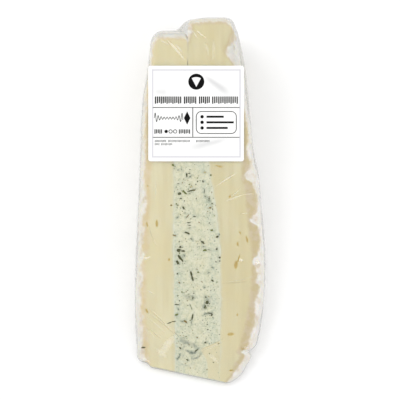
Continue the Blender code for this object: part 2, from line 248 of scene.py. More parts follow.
def seam_wander(from_tip, seed):
    steady = ease((SEAM_STEADY_FROM - from_tip) / SEAM_STEADY_OVER)
    return SEAM_WANDER * steady * humps(from_tip, 0.0, seed, SEAM_WANDER_SIZE)


def seam_touch(from_tip):
    return SEAM_CLOSING + SEAM_TOUCH * ease((from_tip - SEAM_STEADY_FROM) / SEAM_TOUCH_OVER)


def left_seam(from_tip, through=0.5):
    return curve(LEFT_SEAM, from_tip) + seam_touch(from_tip) + seam_wander(from_tip, SEAM_SEEDS[0])


def right_seam(from_tip, through=0.5):
    return curve(RIGHT_SEAM, from_tip) - seam_touch(from_tip) + seam_wander(from_tip, SEAM_SEEDS[1])


def left_rim(x):
    outer = corner(x - rind_left(LEFT_RIM, 0.5), RIM_CORNER)
    return LEFT_RIM + CLING - outer - corner(curve(LEFT_SEAM, LEFT_RIM) - x, INNER_CORNER)


def right_rim(x):
    outer = corner(rind_right(RIGHT_RIM, 0.5) - x, RIM_CORNER)
    slant = RIM_SLANT * np.maximum(RIM_CREST_X - x, 0.0)
    return RIGHT_RIM + CLING - outer - slant - corner(x - curve(RIGHT_SEAM, RIGHT_RIM), INNER_CORNER)


def block(name, cuts, radius, width, square=()):
    """Box divided into a fine grid, with each vertex's shares across, along and through. Its edges
    are rounded, but stay square on the sides in square: -1 is the left one and 1 the right one."""
    bm = bmesh.new()
    bmesh.ops.create_cube(bm, size=2.0)
    for axis, count in enumerate(cuts):
        edges = [e for e in bm.edges if abs(e.verts[0].co[axis] - e.verts[1].co[axis]) > 1.9]
        bmesh.ops.subdivide_edges(bm, edges=edges, cuts=count - 1, use_grid_fill=True)
    mesh = bpy.data.meshes.new(name)
    bm.to_mesh(mesh)
    bm.free()
    piece = bpy.data.objects.new(name, mesh)
    bpy.context.scene.collection.objects.link(piece)
    places = np.empty(len(mesh.vertices) * 3)
    mesh.vertices.foreach_get("co", places)
    places = places.reshape(-1, 3)
    reaches = np.array([2.0 * radius / size for size in (width, RIGHT_RIM, MEAN_DEPTH)])
    core = np.clip(places, reaches - 1.0, 1.0 - reaches)
    out = (places - core) / reaches
    for side in square:
        flat = places[:, 0] * side > 0.0
        core[flat, 0] = places[flat, 0]
        out[flat, 0] = 0.0
    length = np.maximum(np.linalg.norm(out, axis=1), 1e-9)
    out *= (np.abs(out).max(axis=1) / length)[:, None]
    shares = (core + out * reaches + 1.0) / 2.0
    return piece, shares.T


def settle(shares, left, right, low, high):
    """Turn shares into x and distance from the tip between the four lines of a piece."""
    across, along, through = shares
    from_tip = along * RIGHT_RIM
    for _ in range(SETTLE_ROUNDS):
        near, far = left(from_tip, through), right(from_tip, through)
        x = near + (far - near) * across
        from_tip = low(x) + (high(x) - low(x)) * along
    return x, from_tip


def set_places(piece, places):
    """Put the vertices in place, with the faces turned outwards."""
    piece.data.vertices.foreach_set("co", places.ravel())
    bm = bmesh.new()
    bm.from_mesh(piece.data)
    bmesh.ops.recalc_face_normals(bm, faces=bm.faces)
    bm.to_mesh(piece.data)
    bm.free()
    piece.data.shade_smooth()
    piece.data.set_sharp_from_angle(angle=SHARP_ANGLE)


def set_values(piece, name, values):
    layer = piece.data.attributes.new(name, "FLOAT", "POINT")
    layer.data.foreach_set("value", np.asarray(values, np.float32))


def on_shown(through):
    """1 on the shown face, fading to 0 past its edge."""
    return ease((through - (1.0 - FACE_SHARE)) / FACE_SHARE)


def both_faces(through):
    """1 on the shown face, -1 on the back one and 0 between them."""
    return on_shown(through) - ease((FACE_SHARE - through) / FACE_SHARE)


def spot(x, from_tip, place):
    """Nearness to an oval spot: 0 far off, 1 inside it."""
    at_x, at_tip, length, width, lean = place
    turn = math.radians(lean)
    along = (x - at_x) * math.cos(turn) + (from_tip - at_tip) * math.sin(turn)
    across = (from_tip - at_tip) * math.cos(turn) - (x - at_x) * math.sin(turn)
    reach = np.sqrt((along / length * 2.0) ** 2 + (across / width * 2.0) ** 2)
    return ease(SPOT_EDGE - reach)


def hollows(x, from_tip, through):
    """How far each place lies in one of the small hollows of the cut faces."""
    draw = random.Random(BACK_EYE_SEED)
    back = []
    for _ in range(BACK_EYES):
        row = draw.choice(BACK_EYE_ROWS)
        back.append((row + draw.uniform(-BACK_EYE_SPREAD, BACK_EYE_SPREAD),
                     draw.uniform(*BACK_EYE_SPAN), draw.uniform(*BACK_EYE_LENGTH),
                     draw.uniform(*BACK_EYE_WIDTH), draw.uniform(*BACK_EYE_LEAN)))
    face = both_faces(through)
    value = np.zeros(len(x))
    for places, share in ((EYES, face), (back, -face)):
        for place in places:
            value = np.maximum(value, spot(x, from_tip, place) * share)
    return value


def linear(hex_colour):
    """Linear colour of an sRGB hex value."""
    parts = [int(hex_colour[k:k + 2], 16) / 255.0 for k in (1, 3, 5)]
    return [c / 12.92 if c < 0.04045 else ((c + 0.055) / 1.055) ** 2.4 for c in parts] + [1.0]


def add(tree, kind, inputs=None, **settings):
    """Add a node with its settings, values and links."""
    node = tree.nodes.new(kind)
    for key, value in settings.items():
        setattr(node, key, value)
    for key, value in (inputs or {}).items():
        if isinstance(value, bpy.types.NodeSocket):
            tree.links.new(value, node.inputs[key])
        else:
            node.inputs[key].default_value = value
    return node


def new_material(name):
    """Empty material with its tree and the place on the piece that its patterns read."""
    material = bpy.data.materials.new(name)
    material.use_nodes = True
    tree = material.node_tree
    tree.nodes.clear()
    return material, tree, add(tree, "ShaderNodeTexCoord").outputs["Object"]


def soft_brie(name, paste_tones, tan_tone, pink_tone, felt_tones, rim_shaded_felt_tone, side_tone):
    """Ripened brie: straw paste that turns tan and pinkish under a felt of white mould."""
    material, tree, place = new_material(name)
    felt, tan, seam, eye, rim, side = (
        add(tree, "ShaderNodeAttribute", attribute_name=key).outputs["Fac"]
        for key in ("felt", "tan", "seam", "eye", "rim", "side"))
    # Ragged edges of 1.9 mm, pink and felt in blotches of 3.4 mm, clouds of 26 mm, felt 0.9 mm fine
    grain = {}
    for key, size, detail in (("ragged", 1.9, 3.0), ("blotch", 3.4, 3.0), ("cloud", 26, 2.0),
                              ("felt", 0.9, 3.0)):
        grain[key] = add(tree, "ShaderNodeTexNoise", {
            "Vector": place, "Scale": 1 / (size * MM), "Detail": detail}).outputs["Fac"]
    # The knife draws the paste into faint streaks along the cut, 4 mm wide
    drawn = add(tree, "ShaderNodeMapping", {"Vector": place, "Scale": (1.0, 0.07, 0.3)}).outputs[0]
    streak = add(tree, "ShaderNodeTexNoise", {
        "Vector": drawn, "Scale": 1 / (4 * MM), "Detail": 2.0}).outputs["Fac"]

    # The felt, the tan under it and the seam end in a ragged line
    fray = add(tree, "ShaderNodeMath", {0: grain["ragged"], 1: 2.6, 2: -1.3},
               operation="MULTIPLY_ADD").outputs[0]
    frayed = {}
    for key, source, by, depth in (("felt", fray, 1.0, felt), ("tan", fray, 0.7, tan),
                                   ("seam", fray, 0.8, seam), ("pit_shade", grain["felt"], 0.7, eye)):
        frayed[key] = add(tree, "ShaderNodeMath", {0: source, 1: by, 2: depth},
                          operation="MULTIPLY_ADD").outputs[0]
    shares = {}
    for key, source, start, end, at_start, at_end in (
            ("white", frayed["felt"], -0.9, 0.7, 0.94, 0.0),
            ("tan", frayed["tan"], -1.7, 0.6, 0.8, 0.0),
            ("seam", frayed["seam"], -0.3, 1.6, 0.75, 0.0),
            ("pit_shade", frayed["pit_shade"], 0.9, 1.35, 0.0, 0.75),
            ("eye", eye, 0.1, 0.8, 0.0, 0.8), ("streak", streak, 0.32, 0.68, 0.0, 1.0),
            ("cloud", grain["cloud"], 0.35, 0.68, 0.0, 0.5),
            ("pink", grain["blotch"], 0.42, 0.6, 0.0, 0.85),
            ("rim", rim, 0.6, 3.4, 0.9, 0.0), ("side", side, 0.5, 2.0, 0.85, 0.0)):
        shares[key] = add(tree, "ShaderNodeMapRange", {
            0: source, 1: start, 2: end, 3: at_start, 4: at_end},
            interpolation_type="SMOOTHSTEP").outputs[0]
    rind = add(tree, "ShaderNodeMix", {0: shares["pink"], 6: linear(tan_tone), 7: linear(pink_tone)},
               data_type="RGBA").outputs[2]
    patches = add(tree, "ShaderNodeValToRGB", {0: grain["blotch"]})
    ramp = patches.color_ramp
    ramp.elements[0].position = 0.33
    ramp.elements[0].color = linear(felt_tones[0])
    ramp.elements[1].position = 0.6
    ramp.elements[1].color = linear(felt_tones[2])
    ramp.elements.new(0.45).color = linear(felt_tones[1])
    mould = patches.outputs[0]
    # On the shown face's rim the felt is greyed as painted shade; off the shown face it takes the side's
    # tone
    for key, tone in (("side", side_tone), ("rim", rim_shaded_felt_tone)):
        mould = add(tree, "ShaderNodeMix", {0: shares[key], 6: mould, 7: linear(tone)},
                    data_type="RGBA").outputs[2]
    # In the hollows the paste turns golden and darker, the darkening being painted shade; deepest in them
    # the pit tone is painted shade too
    colour = linear(paste_tones[0])
    for key, tone in (("streak", linear(paste_tones[1])), ("cloud", linear("#E5D8A9")),
                      ("seam", linear("#E6E4C8")), ("tan", rind), ("white", mould),
                      ("eye", linear("#DAC684")), ("pit_shade", linear("#C2A250"))):
        colour = add(tree, "ShaderNodeMix", {0: shares[key], 6: colour, 7: tone},
                     data_type="RGBA").outputs[2]
    relief = add(tree, "ShaderNodeMath", {0: grain["felt"], 1: shares["white"]},
                 operation="MULTIPLY").outputs[0]
    relief = add(tree, "ShaderNodeMath", {0: streak, 1: 0.3, 2: relief},
                 operation="MULTIPLY_ADD").outputs[0]
    bump = add(tree, "ShaderNodeBump", {
        "Height": relief, "Strength": 0.5, "Distance": 0.35 * MM}).outputs[0]
    # Moist paste and dry felt
    rough = add(tree, "ShaderNodeMapRange", {0: shares["white"], 3: 0.42, 4: 0.85}).outputs[0]
    shader = add(tree, "ShaderNodeBsdfPrincipled", {
        "Base Color": colour, "Roughness": rough, "Normal": bump, "IOR": 1.42,
        "Subsurface Weight": 0.3, "Subsurface Radius": (1.0, 0.75, 0.4), "Subsurface Scale": 2.0 * MM})
    add(tree, "ShaderNodeOutputMaterial", {"Surface": shader.outputs[0]})
    return material


def brie_half(node, name, lines, rim, bands, seed, outer):
    """One half between its two side lines; outer is -1 with the rind on the left, 1 on the right."""
    piece, shares = block(name, HALF_CUTS, EDGE_RADIUS, HALF_WIDTH, square=(-outer,))
    x, from_tip = settle(shares, *lines, cheese_tip, rim)
    through = shares[2]
    outwards = shares[0] if outer > 0 else 1.0 - shares[0]
    rind, seam = lines[::-1] if outer > 0 else lines
    depth = outer * (rind(from_tip, through) - x) + FILM_SIDE - CLING
    seam_depth = outer * (x - seam(from_tip, through))
    rim_depth = rim(x) - from_tip
    if outer > 0:
        notch = seam_depth + NOTCH_SPREAD * np.maximum(LEFT_RIM - from_tip, 0.0)
        rim_depth = np.minimum(rim_depth, np.maximum(notch, 0.0))
    at = from_tip + BACK_SHIFT * (through - 1.0)
    felt, tan = (curve(band, at) for band in bands)
    height = TIP_RADIUS * through
    wave = RIND_WAVE * (0.5 + 0.5 * np.clip(humps(from_tip, height, seed, RIND_WAVE_SIZE), -1, 1))
    grain = RIND_GRAIN * humps(from_tip, height * 2.0, seed, RIND_GRAIN_SIZE)
    x = x - outer * outwards ** 3 * (wave + grain)
    eye = hollows(x, from_tip, through)
    face_grain = FACE_GRAIN * humps(x, from_tip * FACE_GRAIN_DRAW, seed, FACE_GRAIN_SIZE)
    lift = both_faces(through) * (face_grain - EYE_DEPTH * eye)
    set_places(piece, wedge_points(x, from_tip, through, lift))
    set_values(piece, "felt", np.minimum(depth - felt, rim_depth - RIM_FELTS[outer > 0]))
    set_values(piece, "tan", np.minimum(depth - tan, rim_depth - RIM_TANS[outer > 0]))
    set_values(piece, "seam", np.where(from_tip < SEAM_STEADY_FROM, seam_depth, NO_EDGE))
    set_values(piece, "eye", eye)
    shown = ease((through - SHOWN_FROM) / SHOWN_OVER)
    set_values(piece, "rim", rim(x) - from_tip + NO_EDGE * (1.0 - shown))
    set_values(piece, "side", depth * shown + SIDE_DEPTH * (1.0 - shown))
    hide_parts(node)
    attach(piece, "root")
    return piece


brie_left = brie_half("brie_half_left", "brie_left_dressed", (rind_left, left_seam), left_rim,
                      (LEFT_FELT, LEFT_TAN), LEFT_SEED, -1)
brie_left.data.materials.append(soft_brie("ripened brie with bloomy rind, left", **LEFT_TONES))
brie_right = brie_half("brie_half_right", "brie_right_dressed", (right_seam, rind_right), right_rim,
                       (RIGHT_FELT, RIGHT_TAN), RIGHT_SEED, 1)
brie_right.data.materials.append(soft_brie("ripened brie with bloomy rind, right", **RIGHT_TONES))

# Herb filling. Fresh cream cheese with chopped chives and parsley is spread between the halves
# as a layer that thins out before the rim. Its cut face is matt and finely grainy, the herbs
# stain it a little grey-green, and at the tip the knife has dragged brie and herbs across it.

FILLING_END = 159.5
LAYER_PRESS = 0.3                  # the cream is pressed into both halves by this much
CREAM_CUTS = (60, 340, 12)
CREAM_EDGE_RADIUS = 1.2
CREAM_WIDTH = 20.0
CREAM_GRAIN, CREAM_GRAIN_SIZE, CREAM_GRAIN_SEED = 0.14, 2.4, 11.0
CREAM_SWELL, CREAM_SWELL_SIZE, CREAM_SWELL_SEED = 0.08, 6.0, 31.0
STAIN, SUNK_STAIN = 0.35, 0.7      # how much a herb tints the cream round it, and one just under it
STAIN_REACH = 1.2
SUNK_TONE = 3
# Herbs to be seen, as (x, distance from the tip, length, width, lean, tone): tone 0 is dark olive,
# 1 fresh green, 2 brown, 3 a grey-green piece just under the surface and 4 straw
HERBS = (
    (-13.4, 108.9, 1.6, 0.9, -30, 1), (-6.6, 104.0, 2.2, 0.8, 90, 0), (-5.3, 104.8, 1.3, 0.5, 10, 0),
    (-4.9, 103.3, 1.4, 0.5, 15, 3), (1.5, 100.8, 1.1, 0.7, 110, 0), (5.4, 103.9, 0.9, 0.9, 0, 1),
    (-4.5, 98.1, 1.4, 0.9, 30, 4), (2.4, 105.3, 1.3, 1.0, 0, 4), (-4.4, 96.2, 4.3, 0.75, 15, 0),
    (-10.2, 94.7, 1.8, 1.3, 20, 0), (-7.7, 95.3, 2.7, 0.9, -40, 1), (-8.3, 95.9, 1.2, 1.0, 0, 1),
    (-9.6, 92.3, 1.0, 0.6, 0, 0), (-11.8, 89.6, 1.0, 0.5, 80, 1), (-11.2, 89.0, 0.8, 0.4, 60, 1),
    (-14.4, 88.9, 1.0, 0.8, 10, 2), (-8.2, 87.5, 2.0, 0.8, -55, 0), (-6.2, 83.4, 2.4, 0.45, 48, 2),
    (-2.7, 83.2, 1.4, 0.5, -5, 0), (-11.4, 82.7, 0.8, 0.7, 0, 3), (-5.6, 80.2, 1.9, 0.4, 0, 0),
    (-5.2, 78.8, 1.3, 0.4, 0, 0), (-5.4, 77.5, 0.7, 0.4, 0, 2), (-6.4, 75.0, 2.9, 0.9, -20, 0),
    (-4.3, 72.0, 1.4, 0.6, -40, 3), (5.9, 76.4, 1.5, 0.8, 0, 1), (8.6, 73.1, 1.4, 1.0, 30, 0),
    (9.6, 74.0, 1.2, 0.4, 60, 3), (-12.8, 73.8, 1.9, 0.6, -20, 2), (1.3, 70.3, 2.0, 0.9, -42, 0),
    (1.7, 68.2, 0.7, 0.6, 0, 3), (2.5, 66.4, 2.2, 1.0, 5, 1), (4.4, 66.6, 1.4, 0.4, 0, 3),
    (8.4, 67.0, 1.1, 0.9, 90, 0), (-9.8, 68.0, 1.2, 0.9, -30, 0), (-10.7, 66.3, 2.1, 1.7, 10, 0),
    (-8.4, 66.0, 1.9, 0.8, -5, 0), (-9.8, 62.4, 4.1, 1.2, -52, 0), (-11.2, 60.3, 2.3, 1.3, -60, 0),
    (-7.8, 63.5, 0.9, 0.7, 0, 3), (9.8, 62.7, 1.1, 0.9, 0, 0), (9.9, 61.0, 0.8, 0.6, 0, 0),
    (6.1, 57.8, 1.3, 0.5, -15, 3), (-0.9, 55.4, 1.1, 0.8, 0, 1), (-1.5, 56.9, 0.8, 0.4, -30, 2),
    (4.5, 55.2, 0.7, 0.6, 0, 3), (-11.3, 54.6, 0.8, 0.7, 0, 0), (-4.4, 54.6, 2.6, 1.0, -80, 0),
    (-3.8, 52.4, 3.0, 0.9, -75, 0), (-10.3, 50.2, 1.2, 0.7, -50, 2), (6.2, 51.2, 1.5, 0.8, -35, 0),
    (2.4, 47.8, 0.8, 0.5, 0, 3), (2.8, 42.9, 1.0, 0.6, -40, 0), (-9.0, 45.5, 0.9, 0.6, -60, 1),
    (-3.6, 42.4, 1.6, 0.6, 80, 0), (3.5, 40.3, 1.9, 1.5, 60, 0), (2.4, 38.1, 1.9, 0.8, 70, 0),
    (4.7, 39.6, 0.8, 0.5, 0, 0), (-11.4, 39.2, 2.7, 0.55, -3, 0), (-10.7, 36.8, 0.9, 0.6, 60, 3),
    (-11.7, 34.2, 1.7, 1.0, 20, 1), (-3.8, 33.0, 3.0, 0.8, 80, 0), (-4.5, 38.0, 3.6, 0.25, -70, 1),
    (-4.2, 30.2, 1.8, 0.3, 100, 3), (2.9, 34.6, 2.0, 0.45, 20, 3), (4.9, 34.9, 2.6, 0.5, -10, 0),
    (5.9, 34.0, 1.4, 0.8, 40, 0), (-7.3, 30.7, 1.9, 1.0, -28, 2), (-8.9, 30.8, 1.3, 0.45, 30, 3),
    (-15.2, 30.1, 2.7, 0.5, 20, 0), (-13.1, 30.7, 2.2, 0.5, 2, 0), (2.7, 20.2, 1.0, 0.9, 0, 0),
    (-1.4, 22.7, 0.7, 0.6, 0, 2), (-6.9, 23.3, 0.7, 0.6, 0, 1), (-1.5, 16.5, 2.8, 0.6, 38, 0),
    (-6.4, 11.5, 1.4, 0.6, -40, 0), (-28.2, 17.8, 2.7, 0.8, 12, 0), (2.2, 95.9, 2.1, 0.5, 88, 3),
    (4.6, 92.4, 0.9, 0.6, 0, 0), (4.4, 91.3, 0.9, 0.7, 90, 3), (2.7, 93.1, 0.6, 0.4, 0, 3),
    (5.1, 87.6, 1.2, 0.8, 10, 2), (6.1, 89.7, 0.8, 0.6, 0, 0), (-10.9, 99.7, 0.9, 0.4, 10, 0),
    (-8.8, 100.1, 0.5, 0.5, 0, 2), (-11.0, 106.5, 0.8, 0.6, 0, 3), (-9.3, 106.8, 1.2, 0.5, -60, 3),
    (-9.9, 17.5, 1.5, 0.8, -45, 0), (-10.6, 12.9, 2.7, 0.5, 58, 3))
# Strokes that the knife has drawn over the cream, as (x, distance from the tip) of both ends,
# width and depth of colour
SMEARS = (
    (-9.3, 21.5, -2.1, 18.4, 2.0, 0.7), (-8.2, 20.0, -3.0, 18.6, 1.6, 0.6),
    (-6.9, 16.2, -3.8, 14.6, 1.1, 0.95), (-4.8, 15.0, -2.4, 15.2, 1.9, 0.95),
    (-3.6, 14.6, -0.6, 17.4, 0.9, 0.85), (-4.0, 11.9, -0.9, 12.7, 1.0, 0.9),
    (-0.9, 12.7, 0.6, 14.6, 0.9, 0.8), (0.6, 14.6, -1.7, 14.9, 0.8, 0.65),
    (-2.0, 15.0, -3.6, 12.8, 1.4, 0.55), (-11.4, 11.8, -10.0, 14.2, 0.8, 0.85),
    (-8.8, 12.6, -7.6, 15.0, 0.9, 0.4), (-6.9, 43.0, -3.9, 42.7, 2.2, 0.7),
    (-9.5, 9.5, -5.0, 8.0, 0.7, 0.4), (2.2, 37.6, 4.0, 41.5, 3.0, 0.6), (2.6, 34.4, 6.6, 35.0, 1.4, 0.5),
    (-9.0, 17.0, -7.6, 18.6, 1.2, 0.4), (-6.0, 8.6, -2.5, 9.6, 1.2, 0.3))
# Left edge of the brie dragged over the cream at the tip
DRAGGED_BRIE = ((0, 4.0), (8, 3.8), (12, 3.0), (15, 1.2), (17, 0.8), (19, 5.0), (21.5, 10.9))
DRAGGED_EDGE = 1.5
DRAGGED_END = 22.5
# The cream is cooler in colour along both borders, on the left only towards the tip
COOL_LEFT, COOL_LEFT_END, COOL_LEFT_FADE = 7.0, 80.0, 40.0
COOL_RIGHT, COOL_RIGHT_SHARE = 3.5, 0.8
# Where fine specks crowd, as spots like the hollows, and how thick they lie elsewhere
SPECK_LEAST = 0.25
SPECK_CLOUDS = ((4.6, 36, 24, 6, 88), (4.6, 91, 18, 5, 90), (-9.5, 64, 12, 5, 100), (-6, 100, 12, 7, 20),
                (-9, 84, 12, 5, 80), (-6, 44, 10, 5, 95), (3.0, 70, 14, 7, 60), (-8, 22, 10, 7, 10))


def left_cream(from_tip, through=0.5):
    return left_seam(from_tip) - LAYER_PRESS


def right_cream(from_tip, through=0.5):
    return right_seam(from_tip) + LAYER_PRESS


def cream_end(x):
    return np.full(len(x), FILLING_END)


def cream_relief(x, from_tip):
    """Height of the cream's cut face over the flat of the cut."""
    return (CREAM_GRAIN * humps(x, from_tip, CREAM_GRAIN_SEED, CREAM_GRAIN_SIZE)
            + CREAM_SWELL * humps(x, from_tip, CREAM_SWELL_SEED, CREAM_SWELL_SIZE))


def stroke(x, from_tip, line):
    """Nearness to a drawn stroke: 1 on it, fading over its width."""
    x0, tip0, x1, tip1, width, depth = line
    run = np.array([x1 - x0, tip1 - tip0])
    share = np.clip(((x - x0) * run[0] + (from_tip - tip0) * run[1]) / (run @ run), 0.0, 1.0)
    away = np.hypot(x - x0 - run[0] * share, from_tip - tip0 - run[1] * share)
    return depth * np.exp(-(away / width * 2.0) ** 2)


def nearest_of(values):
    return np.max(list(values), axis=0)


def stains(x, from_tip):
    """How much the herbs near each place tint the cream."""
    tints = []
    for at_x, at_tip, length, width, lean, tone in HERBS:
        halo = (at_x, at_tip, length + STAIN_REACH, width + STAIN_REACH, lean)
        tints.append((SUNK_STAIN if tone == SUNK_TONE else STAIN) * spot(x, from_tip, halo))
    return nearest_of(tints)


def herb_cream():
    """Fresh cream cheese: matt, off white, a little green where the herbs have bled."""
    material, tree, place = new_material("fresh cream cheese with herbs")
    stain, smear, dragged, border, cool = (
        add(tree, "ShaderNodeAttribute", attribute_name=key).outputs["Fac"]
        for key in ("stain", "smear", "dragged", "border", "cool"))
    # Soft patches 6 mm wide, clots of 2.2 mm, crumbs 1.3 mm, curd grain 0.7 mm and herb dust 0.5 mm
    grain = {}
    for key, size, detail in (("cloud", 6, 3.0), ("clot", 2.2, 4.0), ("crumb", 1.3, 3.0),
                              ("curd", 0.7, 2.0), ("dust", 0.5, 1.0)):
        grain[key] = add(tree, "ShaderNodeTexNoise", {
            "Vector": place, "Scale": 1 / (size * MM), "Detail": detail}).outputs["Fac"]
    shares = {}
    for key, source, start, end, at_start, at_end in (
            ("cloud", grain["cloud"], 0.38, 0.62, 0.0, 1.0), ("curd", grain["curd"], 0.4, 0.62, 0.0, 0.5),
            ("clot", grain["clot"], 0.42, 0.56, 0.0, 0.7), ("gap", grain["crumb"], 0.54, 0.66, 0.0, 0.6),
            ("crumb", grain["crumb"], 0.42, 0.6, 0.25, 1.0), ("dust", grain["dust"], 0.62, 0.72, 0.0, 0.5),
            ("border", border, 0.2, 1.3, 0.7, 0.0), ("dragged", dragged, 0.3, 0.75, 0.0, 0.95)):
        shares[key] = add(tree, "ShaderNodeMapRange", {
            0: source, 1: start, 2: end, 3: at_start, 4: at_end},
            interpolation_type="SMOOTHSTEP").outputs[0]
    torn = add(tree, "ShaderNodeMapRange", {
        0: grain["crumb"], 1: 0.38, 2: 0.6, 3: 0.45, 4: 1.1}).outputs[0]
    for key, source, by in (("bled", stain, shares["crumb"]), ("cooled", cool, shares["crumb"]),
                            ("drawn", smear, torn)):
        shares[key] = add(tree, "ShaderNodeMath", {0: source, 1: by}, operation="MULTIPLY").outputs[0]
    colour = linear("#D3D6BA")
    for key, tone in (("cloud", "#E2DFBE"), ("clot", "#E9E8CD"), ("cooled", "#CED7C3"),
                      ("curd", "#EEECD7"), ("gap", "#C6CBAE"), ("dust", "#A3AB8E"),
                      ("border", "#E8E8D2"), ("bled", "#A1AB96"), ("dragged", "#E5DDB8"),
                      ("drawn", "#869182")):
        colour = add(tree, "ShaderNodeMix", {0: shares[key], 6: colour, 7: linear(tone)},
                     data_type="RGBA").outputs[2]
    height = add(tree, "ShaderNodeMath", {0: grain["crumb"], 1: 1.2, 2: grain["curd"]},
                 operation="MULTIPLY_ADD").outputs[0]
    bump = add(tree, "ShaderNodeBump", {
        "Height": height, "Strength": 0.45, "Distance": 0.3 * MM}).outputs[0]
    shader = add(tree, "ShaderNodeBsdfPrincipled", {
        "Base Color": colour, "Roughness": 0.6, "Normal": bump, "IOR": 1.4,
        "Subsurface Weight": 0.25, "Subsurface Radius": (1.0, 0.9, 0.7), "Subsurface Scale": 1.2 * MM})
    add(tree, "ShaderNodeOutputMaterial", {"Surface": shader.outputs[0]})
    return material


filling, cream_shares = block("herb_cream_dressed", CREAM_CUTS, CREAM_EDGE_RADIUS, CREAM_WIDTH,
                              square=(-1, 1))
cream_x, cream_tip = settle(cream_shares, left_cream, right_cream, cheese_tip, cream_end)
cream_through = cream_shares[2]
cream_lift = both_faces(cream_through) * cream_relief(cream_x, cream_tip)
set_places(filling, wedge_points(cream_x, cream_tip, cream_through, cream_lift))
from_left, from_right = cream_x - left_seam(cream_tip), right_seam(cream_tip) - cream_x
cream_shown = on_shown(cream_through)
set_values(filling, "stain", stains(cream_x, cream_tip) * cream_shown)
set_values(filling, "smear", cream_shown * nearest_of(stroke(cream_x, cream_tip, line) for line in SMEARS))
set_values(filling, "dragged",
           cream_shown * ease((cream_x - curve(DRAGGED_BRIE, cream_tip)) / DRAGGED_EDGE + 0.5)
           * ease(DRAGGED_END - cream_tip))
set_values(filling, "border", np.minimum(from_left + 0.5, from_right))
cool_left = (ease(1.0 - from_left / COOL_LEFT)
             * ease((COOL_LEFT_END - cream_tip) / COOL_LEFT_FADE + 0.4))
cool_right = ease(1.0 - np.abs(from_right - COOL_RIGHT) / COOL_RIGHT)
set_values(filling, "cool", np.maximum(cool_left, COOL_RIGHT_SHARE * cool_right))
crowd = nearest_of(spot(cream_x, cream_tip, cloud) for cloud in SPECK_CLOUDS)
set_values(filling, "crowd", SPECK_LEAST + (1.0 - SPECK_LEAST) * crowd)
filling.data.materials.append(herb_cream())
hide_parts("herb_filling")
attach(filling, "root")

# Chopped herbs. Rings and slivers of chive and bits of parsley, cut with the cheese, so that
# they lie flush in both cut faces. They are wet, dark olive to fresh green, and each one is a
# flat closed chip of its own size; the finest are specks that follow the cream's face.

CHIP_HALF = 0.16                   # half of a chip's thickness; it lies half sunk in the face
CHIP_SWAY = 0.45                   # most that a chip bends, as a share of its half width
CHIP_SIZE, CHIP_UNEVEN, CHIP_LUMPS = 1.05, 0.35, 1.6
CHIP_BLUNT = 0.8                   # power that makes its ends blunt
HERB_SEED = 8
# Herbs of the back face, drawn at random
BACK_HERBS = 60
BACK_HERB_SPAN = (14, 138)
BACK_HERB_MARGIN = 1.6
BACK_HERB_LENGTH = (0.9, 4.0)
BACK_HERB_WIDTH = (0.7, 1.2)
BACK_HERB_TONES = (0, 0, 0, 1, 2, 3)
HERB_TONES = ("#4A4D22", "#6F7A32", "#8F7838", "#8D9783", "#C8BE92", "#A1A785")
SPECK_SIZE = 0.34
SPECK_SPACING = 0.95
SPECK_SEED = 3
SPECK_CORNERS = 12                 # of the round that each speck is pressed from
SPECK_TONES = (0, 0, 1, 1, 2, 3, 5, 5)
SPECK_TONE_SEED = 6


def chopped_herb():
    """Chopped wet herb: dark olive green, its tone set by each chip's own value."""
    material, tree, place = new_material("chopped chive and parsley")
    tone = add(tree, "ShaderNodeAttribute", attribute_name="tone").outputs["Fac"]
    tones = add(tree, "ShaderNodeValToRGB", {0: tone})
    ramp = tones.color_ramp
    ramp.interpolation = "CONSTANT"
    for k, colour in enumerate(HERB_TONES):
        stop = ramp.elements[0] if k == 0 else ramp.elements.new(k / len(HERB_TONES))
        stop.color = linear(colour)
    ramp.elements.remove(ramp.elements[-1])
    # Fibres 0.5 mm apart
    fibre = add(tree, "ShaderNodeTexNoise", {
        "Vector": place, "Scale": 1 / (0.5 * MM), "Detail": 2.0}).outputs["Fac"]
    fibres = add(tree, "ShaderNodeMapRange", {0: fibre, 1: 0.35, 2: 0.7, 3: 0.0, 4: 0.22}).outputs[0]
    colour = add(tree, "ShaderNodeMix", {0: fibres, 6: tones.outputs[0], 7: linear("#7C8456")},
                 data_type="RGBA").outputs[2]
    shader = add(tree, "ShaderNodeBsdfPrincipled",
                 {"Base Color": colour, "Roughness": 0.5, "Specular IOR Level": 0.25})
    add(tree, "ShaderNodeOutputMaterial", {"Surface": shader.outputs[0]})
    return material


def tone_value(tone):
    return (tone + 0.5) / len(HERB_TONES)


def face_frame(x, from_tip, lean, through, lift):
    """Frame on a cut face: X in the face, turned by lean, and Z out of it."""
    x, from_tip = np.array([x]), np.array([from_tip])
    angle = float(through * wedge_angle(x, from_tip)[0])
    out = Vector((0.0, -math.sin(angle), math.cos(angle))) * (1.0 if through > 0.5 else -1.0)
    radial = Vector((0.0, math.cos(angle), math.sin(angle)))
    turn = math.radians(lean)
    first = Vector((1.0, 0.0, 0.0)) * math.cos(turn) + radial * math.sin(turn)
    frame_matrix = Matrix((first, out.cross(first), out)).transposed().to_4x4()
    place = wedge_points(x, from_tip, np.array([through]), np.array([0.0]))[0]
    frame_matrix.translation = Vector(place) + out * lift * MM
    return frame_matrix


